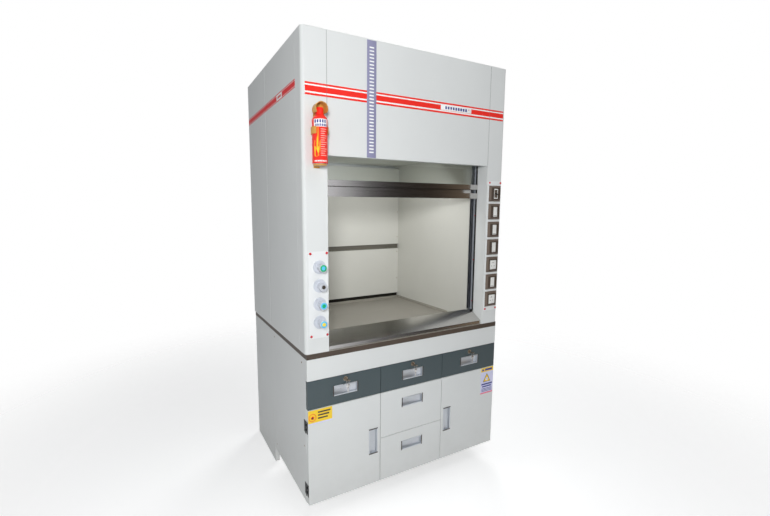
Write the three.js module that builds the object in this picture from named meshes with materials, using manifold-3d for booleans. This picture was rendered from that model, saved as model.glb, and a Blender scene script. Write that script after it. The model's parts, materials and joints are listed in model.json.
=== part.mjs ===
// Floor-standing laboratory fume hood: a steel cabinet base with a rear service chase, a worktop,
// and a hood with a two-panel vertical sash, baffles, service valves and a switch column.
//
// Millimetres, +Z up. Inside the model group x runs from the hood's left side, y runs back from its
// front plane, and z runs up from the underside of the cabinet, which stands on levelling feet.
import * as THREE from "three";
import { mergeVertices } from "three/addons/utils/BufferGeometryUtils.js";
import Module from "manifold-3d";

const wasm = await Module();
wasm.setup();

// ---------------------------------------------------------------- driving dimensions
const HOOD_WIDTH = 1220;
const HOOD_DEPTH = 917;
const HOOD_TOP = 2188;
const FOOT_HEIGHT = 92;
const GAP = 0.3; // clearance between pieces that touch

const BASE_LEFT = 5; // the base is a little narrower than the hood
const BASE_RIGHT = HOOD_WIDTH - BASE_LEFT;
const CABINET_DEPTH = 537; // the front cabinet ends here and the service chase starts
const FRONT_THICKNESS = 20; // doors, drawer fronts and apron
const SHEET = 3; // folded steel panels
const SKIN = 2; // folded steel fronts, drawers and trim

const WORKTOP_BOTTOM = 731;
const WORKTOP_TOP = 757;
const RIM_HEIGHT = 8; // raised rim round the working surface
const RIM_WIDTH = 14;

const POST_WIDTH = 119;
const POST_WRAP = 76; // how far a corner post turns round onto the side
const POST_JAMB = 70; // how deep its inner return is
const POST_RADIUS = 16;
const HEADER_BOTTOM = 1660;

const LINER_FACE = 112; // the chamber's side linings, measured from the hood's side
const LINER_THICKNESS = 6;
const LINER_FRONT = 108;
const CEILING_BOTTOM = 1745;
const BAFFLE_FRONT = 855;
const BAFFLE_THICKNESS = 4;
const BAFFLE_TOP = 1728;
const BAFFLE_MIDDLE = [1138, 1166]; // the slot between the two baffles
const BAFFLE_BOTTOM = 790;

const SILL_FRONT = 8;
const SILL_BACK = 92;
const SILL_LIP_TOP = 777;
const SILL_TOP = 829;

const HANDLE_BOTTOM = 1482; // the sash as it stands at rest, raised
const HANDLE_TOP = 1560;
const GLASS = 5;
const LOWER_PANE_FRONT = 79;
const UPPER_PANE_FRONT = 93;
const TRACK_FRONT = 74;
const TRACK_BACK = 104;
const TRACK_WIDTH = 18;
const TRACK_TOP = 2060;
const LOWER_PANE_TOP = 1945;
const UPPER_PANE_TOP = 2040;

const APRON_BOTTOM = 626;
const UPPER_DRAWER_BOTTOM = 485;
const MIDDLE_DRAWER_BOTTOM = 238;
const SEAM = 1.5; // half the gap between neighbouring fronts
const RECESS = { long: 130, short: 43, deep: 14 };

const VALVE_HEIGHTS = [905, 990.5, 1076, 1161.5];
const VALVE_X = 72.5;
const VALVE = { rosette: 31, collar: 15, neck: 11, head: 18.5, face: -50, collarEnd: -20 };
const PLATE_PITCH = 100.9;
const PLATE_SIZE = 88;
const LOWEST_PLATE = 903;
const SWITCH_X = 1160;
const RIGHT_POST = HOOD_WIDTH - POST_WIDTH; // inner edge of the right-hand post

const BOTTLE = { x: 66, y: -40, radius: 33.5, bead: 34.4, neck: 17.2, bottom: 1614 };
const FRONT_REACH = BOTTLE.bead - BOTTLE.y; // the extinguisher's base bead stands out furthest

// ---------------------------------------------------------------- materials
const finish = (color, roughness, metalness, more = {}) =>
  new THREE.MeshStandardMaterial({ color, roughness, metalness, ...more });

const MATERIALS = {
  whitePaint: finish(0xe4e7e8, 0.45, 0.05),
  slatePaint: finish(0x4c5a5f, 0.45, 0.05),
  steel: finish(0x8f8a82, 0.3, 1.0),
  granite: finish(0x6a6058, 0.4, 0.1),
  lining: finish(0xd2d3cd, 0.5, 0.0),
  glass: finish(0xdfe8e6, 0.05, 0.0, { transparent: true, opacity: 0.3 }),
  diffuser: finish(0xf2f4f4, 0.6, 0.0),
  bronze: finish(0x6d6054, 0.4, 0.3),
  insert: finish(0xf4f4f2, 0.35, 0.0),
  black: finish(0x151617, 0.4, 0.0),
  valvePaint: finish(0xb9c2d0, 0.35, 0.1),
  castIron: finish(0x4a4c4e, 0.7, 0.8),
  nickel: finish(0xb7b2a8, 0.25, 1.0),
  redPaint: finish(0xd8232a, 0.25, 0.1),
  ochrePaint: finish(0xd9a441, 0.4, 0.1),
  rubber: finish(0x2a2a2a, 0.8, 0.0),
};

// ---------------------------------------------------------------- solid helpers
// A closed three.js geometry as a solid that can be joined and cut.
function solid(geometry) {
  const bare = geometry.index ? geometry.toNonIndexed() : geometry.clone();
  for (const name of Object.keys(bare.attributes)) {
    if (name !== "position") bare.deleteAttribute(name);
  }
  const merged = mergeVertices(bare, 1e-4);
  return new wasm.Manifold(
    new wasm.Mesh({
      numProp: 3,
      vertProperties: merged.attributes.position.array,
      triVerts: new Uint32Array(merged.index.array),
    }),
  );
}

function geometryOf(made) {
  const mesh = made.getMesh();
  return new THREE.BufferGeometry()
    .setAttribute("position", new THREE.BufferAttribute(mesh.vertProperties, 3))
    .setIndex(new THREE.BufferAttribute(mesh.triVerts, 1));
}

// A box from its lowest to its highest corner.
function box([x0, y0, z0], [x1, y1, z1]) {
  const made = new THREE.BoxGeometry(x1 - x0, y1 - y0, z1 - z0);
  return solid(made.translate((x0 + x1) / 2, (y0 + y1) / 2, (z0 + z1) / 2));
}

// A round bar along Y, from y0 to y1.
function barY(x, z, radius, y0, y1, segments = 28) {
  const made = new THREE.CylinderGeometry(radius, radius, y1 - y0, segments);
  return solid(made.translate(x, (y0 + y1) / 2, z));
}

// A round bar along Z.
function barZ(x, y, radius, z0, z1, segments = 28) {
  const made = new THREE.CylinderGeometry(radius, radius, z1 - z0, segments);
  return solid(made.rotateX(Math.PI / 2).translate(x, y, (z0 + z1) / 2));
}

// A turned piece round the Z axis, from [radius, height] points that start and end on the axis.
function turnedZ(points, segments = 28) {
  const profile = points.map(([r, z]) => new THREE.Vector2(r, z));
  return solid(new THREE.LatheGeometry(profile, segments).rotateX(Math.PI / 2));
}

const outline = (points) => new THREE.Shape(points.map(([a, b]) => new THREE.Vector2(a, b)));

function prism(shape, length) {
  return new THREE.ExtrudeGeometry(shape, { depth: length, bevelEnabled: false, curveSegments: 5 });
}

// A section drawn in x and y, raised from z0 to z1.
const prismZ = (shape, z0, z1) => solid(prism(shape, z1 - z0).translate(0, 0, z0));

// A section drawn in y and z, drawn out from x0 to x1.
function prismX(shape, x0, x1) {
  const turn = new THREE.Matrix4().makeBasis(
    new THREE.Vector3(0, 1, 0),
    new THREE.Vector3(0, 0, 1),
    new THREE.Vector3(1, 0, 0),
  );
  return solid(prism(shape, x1 - x0).applyMatrix4(turn).translate(x0, 0, 0));
}

// The same solid on the other side of the hood.
const mirrored = (made) => made.mirror([1, 0, 0]).translate([HOOD_WIDTH, 0, 0]);

const joined = (...solids) => solids.reduce((all, next) => all.add(next));

const hood = new THREE.Group();

function add(name, made, material, place = [0, 0, 0]) {
  const mesh = new THREE.Mesh(geometryOf(made), MATERIALS[material]);
  mesh.name = name;
  mesh.position.set(...place);
  hood.add(mesh);
  return mesh;
}

// A pair of pieces, the second one the mirror image of the first.
function addPair(name, made, material) {
  add(name + "_left", made, material);
  add(name + "_right", mirrored(made), material);
}

// ---------------------------------------------------------------- cabinet base
const CARCASS_FRONT = FRONT_THICKNESS + 1;
const CARCASS_TOP = WORKTOP_BOTTOM - GAP;
const BAY_WIDTH = (BASE_RIGHT - BASE_LEFT) / 3;
const bayLeft = (bay) => BASE_LEFT + bay * BAY_WIDTH;

// Side panel with a narrow front flange, an L in plan.
function baseSide() {
  const plan = outline([
    [BASE_LEFT, CARCASS_FRONT],
    [BASE_LEFT + 20, CARCASS_FRONT],
    [BASE_LEFT + 20, CARCASS_FRONT + SHEET],
    [BASE_LEFT + SHEET, CARCASS_FRONT + SHEET],
    [BASE_LEFT + SHEET, CABINET_DEPTH],
    [BASE_LEFT, CABINET_DEPTH],
  ]);
  return prismZ(plan, 0, CARCASS_TOP);
}

// Side cover of the service chase: it reaches down to the floor.
function chaseSide() {
  const front = CABINET_DEPTH + 2;
  const plan = outline([
    [BASE_LEFT, front],
    [BASE_LEFT + 25, front],
    [BASE_LEFT + 25, front + SHEET],
    [BASE_LEFT + SHEET, front + SHEET],
    [BASE_LEFT + SHEET, HOOD_DEPTH - 2],
    [BASE_LEFT, HOOD_DEPTH - 2],
  ]);
  return prismZ(plan, -FOOT_HEIGHT, CARCASS_TOP);
}

// Upright between two bays, a T in plan: a front flange and a web.
function divider(x) {
  const front = CARCASS_FRONT;
  const back = CABINET_DEPTH - SHEET - GAP;
  const plan = outline([
    [x - 10, front],
    [x + 10, front],
    [x + 10, front + SHEET],
    [x + SHEET / 2, front + SHEET],
    [x + SHEET / 2, back],
    [x - SHEET / 2, back],
    [x - SHEET / 2, front + SHEET],
    [x - 10, front + SHEET],
  ]);
  return prismZ(plan, SHEET + GAP, CARCASS_TOP - 3);
}

// Folded fascia under the worktop, with closed ends.
function apron() {
  const section = outline([
    [0, APRON_BOTTOM + SEAM],
    [FRONT_THICKNESS, APRON_BOTTOM + SEAM],
    [FRONT_THICKNESS, APRON_BOTTOM + SEAM + SKIN],
    [SKIN, APRON_BOTTOM + SEAM + SKIN],
    [SKIN, CARCASS_TOP - SKIN],
    [FRONT_THICKNESS, CARCASS_TOP - SKIN],
    [FRONT_THICKNESS, CARCASS_TOP],
    [0, CARCASS_TOP],
  ]);
  const shell = prismX(section, BASE_LEFT, BASE_RIGHT);
  const end = (x) => box([x, 0, APRON_BOTTOM + SEAM], [x + SKIN, FRONT_THICKNESS, CARCASS_TOP]);
  return joined(shell, end(BASE_LEFT), end(BASE_RIGHT - SKIN));
}

// Levelling foot: a pad on a plain stem.
function foot() {
  return turnedZ([
    [0, -FOOT_HEIGHT],
    [24, -FOOT_HEIGHT],
    [25, -FOOT_HEIGHT + 5],
    [21, -FOOT_HEIGHT + 12],
    [8, -FOOT_HEIGHT + 16],
    [8, -GAP],
    [0, -GAP],
  ]);
}

function addCabinet() {
  const inner = BASE_LEFT + SHEET + GAP;
  const far = HOOD_WIDTH - inner;
  const back = CABINET_DEPTH - SHEET;
  addPair("base_side", baseSide(), "whitePaint");
  addPair("chase_side", chaseSide(), "whitePaint");
  add("base_bottom", box([inner, CARCASS_FRONT + 3.5, 0], [far, back - GAP, SHEET]), "whitePaint");
  add("base_back", box([inner, back, 0], [far, CABINET_DEPTH, CARCASS_TOP]), "whitePaint");
  add("base_divider_left", divider(bayLeft(1)), "whitePaint");
  add("base_divider_right", divider(bayLeft(2)), "whitePaint");
  add("apron_panel", apron(), "whitePaint");
  const inset = 100;
  const feet = {
    front_left: [inset, 200],
    front_right: [HOOD_WIDTH - inset, 200],
    back_left: [inset, 460],
    back_right: [HOOD_WIDTH - inset, 460],
  };
  for (const [corner, [x, y]] of Object.entries(feet)) {
    add("foot_" + corner, foot(), "rubber", [x, y, 0]);
  }
}

// ---------------------------------------------------------------- drawers and doors
// A hollow folded front, open along its bottom edge, with a finger recess in its face.
function hollowFront([x0, z0], [x1, z1], [cx, cz], [recessWidth, recessHeight]) {
  const outer = box([x0, 0, z0], [x1, FRONT_THICKNESS, z1]);
  const inside = box([x0 + SKIN, SKIN, z0 - 1], [x1 - SKIN, FRONT_THICKNESS - SKIN, z1 - SKIN]);
  const cup = (grow, y0, y1) =>
    box(
      [cx - recessWidth / 2 - grow, y0, cz - recessHeight / 2 - grow],
      [cx + recessWidth / 2 + grow, y1, cz + recessHeight / 2 + grow],
    );
  const bottomRail = box([x0, 0, z0], [x1, FRONT_THICKNESS - 8, z0 + SKIN]);
  return outer
    .subtract(inside)
    .add(bottomRail)
    .add(cup(SKIN, 0, RECESS.deep + SKIN))
    .subtract(cup(0, -1, RECESS.deep));
}

// An open-topped steel box behind a drawer front.
function drawerBox(bay, z0, z1, long) {
  const x0 = bayLeft(bay) + DRAWER_INSET;
  const x1 = bayLeft(bay + 1) - DRAWER_INSET;
  const y0 = FRONT_THICKNESS - 0.5;
  const outer = box([x0, y0, z0], [x1, y0 + long, z1]);
  return outer.subtract(box([x0 + SKIN, y0 + SKIN, z0 + SKIN], [x1 - SKIN, y0 + long - SKIN, z1 + 1]));
}

const DRAWERS = [
  { name: "drawer_left", bay: 0, low: UPPER_DRAWER_BOTTOM, high: APRON_BOTTOM, recess: 554, lock: true },
  { name: "drawer_middle", bay: 1, low: UPPER_DRAWER_BOTTOM, high: APRON_BOTTOM, recess: 554, lock: true },
  { name: "drawer_right", bay: 2, low: UPPER_DRAWER_BOTTOM, high: APRON_BOTTOM, recess: 554, lock: true },
  { name: "drawer_centre_upper", bay: 1, low: MIDDLE_DRAWER_BOTTOM, high: UPPER_DRAWER_BOTTOM, recess: 404 },
  { name: "drawer_centre_lower", bay: 1, low: 0.5, high: MIDDLE_DRAWER_BOTTOM, recess: 159 },
];
const DRAWER_LENGTH = 470;
const DRAWER_INSET = 22; // leaves room for a slide on each side
const LOCK_HEIGHT = 605;
const LOCK_RADIUS = 8;

function drawer({ bay, low, high, recess, lock }) {
  const x0 = bayLeft(bay) + SEAM;
  const x1 = bayLeft(bay + 1) - SEAM;
  const middle = (bayLeft(bay) + bayLeft(bay + 1)) / 2;
  const z0 = low + SEAM;
  const z1 = high - SEAM;
  let front = hollowFront([x0, z0], [x1, z1], [middle, recess], [RECESS.long, RECESS.short]);
  if (lock) {
    front = front.subtract(barY(middle, LOCK_HEIGHT, LOCK_RADIUS + 0.3, -1, FRONT_THICKNESS - SKIN - 1));
  }
  return front.add(drawerBox(bay, z0 + 12, z1 - 28, DRAWER_LENGTH));
}

function door(bay, side) {
  const x0 = bayLeft(bay) + SEAM;
  const x1 = bayLeft(bay + 1) - SEAM;
  const grip = side === "left" ? bayLeft(bay + 1) - 43 : bayLeft(bay) + 43;
  const z1 = UPPER_DRAWER_BOTTOM - SEAM;
  return hollowFront([x0, 2], [x1, z1], [grip, 235], [RECESS.short, RECESS.long]);
}

// Lock plug with its key: the bow stands out in front of the drawer.
function key() {
  const plug = barY(0, 0, LOCK_RADIUS, -3, FRONT_THICKNESS - SKIN - 2, 20);
  const blade = box([-4, -16, -1], [4, -2, 1]);
  const bow = box([-11, -30, -1.2], [11, -15, 1.2]);
  return joined(plug, blade, bow);
}

function addFronts() {
  for (const each of DRAWERS) {
    add(each.name, drawer(each), each.lock ? "slatePaint" : "whitePaint");
    if (each.lock) {
      const middle = (bayLeft(each.bay) + bayLeft(each.bay + 1)) / 2;
      add("key_" + each.name.split("_")[1], key(), "nickel", [middle, 0, LOCK_HEIGHT]);
    }
  }
  add("door_left", door(0, "left"), "whitePaint");
  add("door_right", door(2, "right"), "whitePaint");
}

// ---------------------------------------------------------------- worktop and sill
function worktop() {
  const slab = box([BASE_LEFT, 0, WORKTOP_BOTTOM], [BASE_RIGHT, HOOD_DEPTH, WORKTOP_TOP]);
  const x = LINER_FACE + 4;
  const y0 = LINER_FRONT + 2;
  const y1 = BAFFLE_FRONT - 5;
  const top = WORKTOP_TOP + RIM_HEIGHT;
  const rim = box([x, y0, WORKTOP_TOP - 1], [HOOD_WIDTH - x, y1, top]);
  const inside = box(
    [x + RIM_WIDTH, y0 + RIM_WIDTH, WORKTOP_TOP],
    [HOOD_WIDTH - x - RIM_WIDTH, y1 - RIM_WIDTH, top + 1],
  );
  return slab.add(rim.subtract(inside));
}

// Sloping sill sheet that guides air in over the worktop's front edge.
function airfoilSill() {
  const z0 = WORKTOP_TOP + GAP;
  const section = outline([
    [SILL_FRONT, z0],
    [SILL_FRONT + SHEET, z0],
    [SILL_FRONT + SHEET, SILL_LIP_TOP - 1.5],
    [SILL_BACK - SHEET, SILL_TOP - 3.5],
    [SILL_BACK - SHEET, SILL_TOP - 14],
    [SILL_BACK, SILL_TOP - 14],
    [SILL_BACK, SILL_TOP],
    [SILL_FRONT, SILL_LIP_TOP],
  ]);
  return prismX(section, POST_WIDTH + GAP, HOOD_WIDTH - POST_WIDTH - GAP);
}

function addWorktop() {
  add("worktop", worktop(), "granite");
  add("airfoil_sill", airfoilSill(), "steel");
}

// ---------------------------------------------------------------- hood shell
const SHELL_BOTTOM = WORKTOP_TOP + GAP;
const SHELL_TOP = HOOD_TOP - SHEET - GAP;
const BACK_FRONT = HOOD_DEPTH - SHEET; // inner face of the back panel

// Folded post: side wrap, rounded corner, front face and inner return.
function cornerPost() {
  const face = POST_WIDTH;
  const quarter = Math.PI / 2;
  const plan = new THREE.Shape();
  plan.moveTo(0, POST_WRAP);
  plan.lineTo(0, POST_RADIUS);
  plan.absarc(POST_RADIUS, POST_RADIUS, POST_RADIUS, 2 * quarter, 3 * quarter, false);
  plan.lineTo(face, 0);
  plan.lineTo(face, POST_JAMB);
  plan.lineTo(face - SKIN, POST_JAMB);
  plan.lineTo(face - SKIN, SKIN);
  plan.lineTo(POST_RADIUS, SKIN);
  plan.absarc(POST_RADIUS, POST_RADIUS, POST_RADIUS - SKIN, 3 * quarter, 2 * quarter, true);
  plan.lineTo(SKIN, POST_WRAP);
  plan.closePath();
  return prismZ(plan, SHELL_BOTTOM, SHELL_TOP);
}

// Side panel with a shallow upright groove where its front and rear sheets meet.
function hoodSide() {
  const panel = box([0, POST_WRAP + 1, SHELL_BOTTOM], [SHEET, BACK_FRONT - GAP, SHELL_TOP]);
  const groove = box([-1, CABINET_DEPTH, SHELL_BOTTOM - 1], [1, CABINET_DEPTH + 2.5, HOOD_TOP]);
  return panel.subtract(groove);
}

// Front panel over the opening, folded back and up along its lower edge.
function header() {
  const section = outline([
    [0, HEADER_BOTTOM],
    [30, HEADER_BOTTOM],
    [30, HEADER_BOTTOM + 15],
    [30 - SKIN, HEADER_BOTTOM + 15],
    [30 - SKIN, HEADER_BOTTOM + SKIN],
    [SKIN, HEADER_BOTTOM + SKIN],
    [SKIN, SHELL_TOP],
    [0, SHELL_TOP],
  ]);
  return prismX(section, POST_WIDTH + GAP, HOOD_WIDTH - POST_WIDTH - GAP);
}

const DUCT = { x: HOOD_WIDTH / 2, y: 620, radius: 125, wall: 3, height: 60 };

// Roof sheet that covers every upright panel, with the exhaust spigot welded on.
function topPanel() {
  const z0 = HOOD_TOP - SHEET;
  const quarter = Math.PI / 2;
  const plan = new THREE.Shape();
  plan.moveTo(0, HOOD_DEPTH);
  plan.lineTo(0, POST_RADIUS);
  plan.absarc(POST_RADIUS, POST_RADIUS, POST_RADIUS, 2 * quarter, 3 * quarter, false);
  plan.absarc(HOOD_WIDTH - POST_RADIUS, POST_RADIUS, POST_RADIUS, 3 * quarter, 4 * quarter, false);
  plan.lineTo(HOOD_WIDTH, HOOD_DEPTH);
  plan.closePath();
  const sheet = prismZ(plan, z0, HOOD_TOP);
  const spigot = barZ(DUCT.x, DUCT.y, DUCT.radius, z0 + 1, HOOD_TOP + DUCT.height, 48);
  const bore = barZ(DUCT.x, DUCT.y, DUCT.radius - DUCT.wall, z0 - 1, HOOD_TOP + DUCT.height + 1, 48);
  return sheet.add(spigot).subtract(bore);
}

const LAMP = { x0: 310, x1: 910, y0: 250, y1: 400 };

function ceiling() {
  const x = LINER_FACE + GAP;
  const top = CEILING_BOTTOM + 6;
  const sheet = box([x, LINER_FRONT, CEILING_BOTTOM], [HOOD_WIDTH - x, BAFFLE_FRONT - 5, top]);
  return sheet.subtract(box([LAMP.x0, LAMP.y0, CEILING_BOTTOM - 1], [LAMP.x1, LAMP.y1, top + 1]));
}

// Shallow diffuser tray that fills the lamp window from above.
function lampLens() {
  const z0 = CEILING_BOTTOM - 2;
  const tray = box([LAMP.x0 + 2, LAMP.y0 + 2, z0], [LAMP.x1 - 2, LAMP.y1 - 2, CEILING_BOTTOM + 7]);
  const ledge = 12;
  const flange = box(
    [LAMP.x0 - ledge, LAMP.y0 - ledge, CEILING_BOTTOM + 6.5],
    [LAMP.x1 + ledge, LAMP.y1 + ledge, CEILING_BOTTOM + 9],
  );
  return tray.add(flange);
}

function baffle(z0, z1) {
  const x = LINER_FACE + 1;
  return box([x, BAFFLE_FRONT, z0], [HOOD_WIDTH - x, BAFFLE_FRONT + BAFFLE_THICKNESS, z1]);
}

function addShell() {
  addPair("corner_post", cornerPost(), "whitePaint");
  addPair("hood_side", hoodSide(), "whitePaint");
  add("header_panel", header(), "whitePaint");
  add("top_panel", topPanel(), "whitePaint");
  add("hood_back", box([0, BACK_FRONT, SHELL_BOTTOM], [HOOD_WIDTH, HOOD_DEPTH, SHELL_TOP]), "whitePaint");
  const lining = box(
    [LINER_FACE - LINER_THICKNESS, LINER_FRONT, SHELL_BOTTOM],
    [LINER_FACE, BACK_FRONT - GAP, CEILING_BOTTOM + 6],
  );
  addPair("liner", lining, "lining");
  add("ceiling_panel", ceiling(), "lining");
  add("lamp_lens", lampLens(), "diffuser");
  add("baffle_upper", baffle(BAFFLE_MIDDLE[1], BAFFLE_TOP), "lining");
  add("baffle_lower", baffle(BAFFLE_BOTTOM, BAFFLE_MIDDLE[0]), "lining");
}

// ---------------------------------------------------------------- sash
const TRACK_INNER = POST_WIDTH + GAP + TRACK_WIDTH;
const PANE_EDGE = POST_WIDTH + 6;

// Upright track with a groove for each pane, an E in plan.
function sashTrack() {
  const x0 = POST_WIDTH + GAP;
  const back = box([x0, TRACK_FRONT, SILL_TOP + 1], [x0 + 2.5, TRACK_BACK, TRACK_TOP]);
  const fin = (y) => box([x0, y, SILL_TOP + 1], [TRACK_INNER, y + 2, TRACK_TOP]);
  return joined(back, fin(TRACK_FRONT), fin((TRACK_FRONT + TRACK_BACK) / 2 - 1), fin(TRACK_BACK - 2));
}

const pane = (front, z0, z1) =>
  box([PANE_EDGE, front, z0], [HOOD_WIDTH - PANE_EDGE, front + GLASS, z1]);

// Full-width pull under the lower pane: two front lips on a channel that runs between the tracks.
function sashHandle() {
  const front = 62;
  const back = 90;
  const lip = 3;
  const channel = (x0, x1) => {
    const section = outline([
      [front, HANDLE_BOTTOM],
      [back, HANDLE_BOTTOM],
      [back, HANDLE_TOP],
      [front, HANDLE_TOP],
      [front, HANDLE_TOP - SKIN],
      [back - SKIN, HANDLE_TOP - SKIN],
      [back - SKIN, HANDLE_BOTTOM + SKIN],
      [front, HANDLE_BOTTOM + SKIN],
    ]);
    return prismX(section, x0, x1);
  };
  const bar = (z0, z1) =>
    box([PANE_EDGE, front, z0], [HOOD_WIDTH - PANE_EDGE, front + lip, z1]);
  const clear = TRACK_INNER + 3;
  return joined(
    channel(clear, HOOD_WIDTH - clear),
    bar(HANDLE_TOP - 28, HANDLE_TOP),
    bar(HANDLE_BOTTOM, HANDLE_BOTTOM + 30),
  );
}

// Iron weight that hangs between the side panel and the lining. The pair weighs as much as the
// lower pane with its pull and half of the upper pane, which moves half as far.
const WEIGHT = { x0: 25, x1: 85, y0: 112, y1: 152, bottom: 850, tall: 310 };
const counterweight = () =>
  box([WEIGHT.x0, WEIGHT.y0, WEIGHT.bottom], [WEIGHT.x1, WEIGHT.y1, WEIGHT.bottom + WEIGHT.tall]);

const PULLEY = { radius: 35, flange: 4, bore: 6, x: 95, z: 2115, y0: 106, y1: 122 };

// Grooved cable pulley with a bored hub, turning on an axis that runs front to back.
function pulley() {
  const middle = (PULLEY.y0 + PULLEY.y1) / 2;
  const rim = PULLEY.radius + PULLEY.flange;
  const wheel = joined(
    barY(PULLEY.x, PULLEY.z, rim, PULLEY.y0, middle - 3, 32),
    barY(PULLEY.x, PULLEY.z, PULLEY.radius, middle - 3.5, middle + 3.5, 32),
    barY(PULLEY.x, PULLEY.z, rim, middle + 3, PULLEY.y1, 32),
  );
  return wheel.subtract(barY(PULLEY.x, PULLEY.z, PULLEY.bore, PULLEY.y0 - 1, PULLEY.y1 + 1, 16));
}

function addSash() {
  addPair("sash_track", sashTrack(), "steel");
  add("sash_pane_lower", pane(LOWER_PANE_FRONT, HANDLE_TOP + GAP, LOWER_PANE_TOP), "glass");
  add("sash_pane_upper", pane(UPPER_PANE_FRONT, HANDLE_TOP + 3, UPPER_PANE_TOP), "glass");
  add("sash_handle", sashHandle(), "steel");
  addPair("counterweight", counterweight(), "castIron");
  addPair("sash_pulley", pulley(), "castIron");
}

// ---------------------------------------------------------------- services on the posts
// Backing plate with a rosette and collar for each valve.
function valvePlate() {
  const plate = box([20, -SKIN, 830], [POST_WIDTH - 1, -GAP, 1233]);
  const rosettes = VALVE_HEIGHTS.map((z) =>
    barY(VALVE_X, z, VALVE.rosette, -8, -1).add(barY(VALVE_X, z, VALVE.collar, VALVE.collarEnd, -1)),
  );
  return joined(plate, ...rosettes);
}

// Remote-control knob: a slim neck and a fluted head with a flat end.
function valveKnob() {
  const flutes = 12;
  const neck = barY(0, 0, VALVE.neck, -31, VALVE.collarEnd - GAP);
  let head = barY(0, 0, VALVE.head, VALVE.face, -30, 36).add(neck);
  for (let i = 0; i < flutes; i += 1) {
    const angle = (i / flutes) * 2 * Math.PI;
    head = head.subtract(barY(19.6 * Math.cos(angle), 19.6 * Math.sin(angle), 2.2, -46, -29, 8));
  }
  return head;
}

const PLATE_DEPTH = 12;
const plateHeight = (index) => LOWEST_PLATE + index * PLATE_PITCH;
const ROCKER = { wide: 22, tall: 44 };

// One square wall plate with sloping edges; a switch pocket is cut where a rocker sits.
function wallPlate(z, hasPocket) {
  const half = PLATE_SIZE / 2;
  const slope = new THREE.CylinderGeometry(half * Math.SQRT2, (half - 9) * Math.SQRT2, PLATE_DEPTH - 4, 4);
  slope.rotateY(Math.PI / 4).translate(SWITCH_X, -(PLATE_DEPTH + 4) / 2, z);
  const flat = box([SWITCH_X - half, -5, z - half], [SWITCH_X + half, -1, z + half]);
  const made = flat.add(solid(slope));
  if (!hasPocket) return made;
  const x = ROCKER.wide / 2 + 1;
  const tall = ROCKER.tall / 2 + 1;
  return made.subtract(box([SWITCH_X - x, -PLATE_DEPTH - 1, z - tall], [SWITCH_X + x, -4, z + tall]));
}

// From the lowest plate up: socket, rocker, socket, three rockers, toggle.
const SWITCHES = ["socket", "rocker", "socket", "rocker", "rocker", "rocker", "toggle"];

function switchPanel() {
  const low = plateHeight(0) - PLATE_SIZE / 2 - 25;
  const high = plateHeight(6) + PLATE_SIZE / 2 + 25;
  const strip = box([RIGHT_POST + 9, -SKIN, low], [HOOD_WIDTH - 10, -GAP, high]);
  const plates = SWITCHES.map((kind, i) => wallPlate(plateHeight(i), kind !== "socket"));
  return joined(strip, ...plates);
}

// Rocker with a shallow V face, drawn about its own pivot.
function rocker() {
  const half = ROCKER.tall / 2;
  const section = outline([
    [-4.5, -half],
    [0.5, -half],
    [3.5, 0],
    [0.5, half],
    [-4.5, half],
    [-2.5, 0],
  ]);
  return prismX(section, -ROCKER.wide / 2, ROCKER.wide / 2);
}
const ROCKER_TILT = THREE.MathUtils.degToRad(4);

// Lever of the toggle switch, drawn about its own pivot.
function toggle() {
  const lever = new THREE.CylinderGeometry(2.4, 3.6, 16, 14).translate(0, -9, 0);
  const ball = new THREE.SphereGeometry(4, 14, 10);
  return solid(lever).add(solid(ball));
}
const TOGGLE_TILT = THREE.MathUtils.degToRad(20);

function addServices() {
  add("valve_plate", valvePlate(), "valvePaint");
  VALVE_HEIGHTS.forEach((z, i) => {
    add("valve_knob_" + (i + 1), valveKnob(), "valvePaint", [VALVE_X, 0, z]);
  });
  add("switch_panel", switchPanel(), "bronze");
  SWITCHES.forEach((kind, i) => {
    if (kind === "socket") return;
    const place = [SWITCH_X, -PLATE_DEPTH + 1.2, plateHeight(i)];
    if (kind === "rocker") {
      add("rocker_" + (i + 1), rocker(), "insert", place).rotation.x = ROCKER_TILT;
    } else {
      add("toggle_lever", toggle(), "black", place).rotation.x = TOGGLE_TILT;
    }
  });
}

// ---------------------------------------------------------------- fire extinguisher
// Aerosol extinguisher: rolled base bead, straight body, round shoulder and a capped neck.
function bottle() {
  const { radius, bead, neck, bottom } = BOTTLE;
  return turnedZ([
    [0, bottom],
    [bead - 3, bottom],
    [bead, bottom + 2],
    [bead, bottom + 4],
    [radius, bottom + 5.5],
    [radius, bottom + 184],
    [radius - 3, bottom + 192],
    [radius - 10, bottom + 200],
    [neck + 1, bottom + 205],
    [neck, bottom + 207],
    [neck, bottom + 231],
    [neck - 1.5, bottom + 234],
    [0, bottom + 234],
  ]);
}

const CLIP = { z0: 1738, z1: 1767, inner: 34.5, outer: 38.5 };
const SHROUD = { z: 1841, radius: 29, front: -66, back: -27 };

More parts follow.
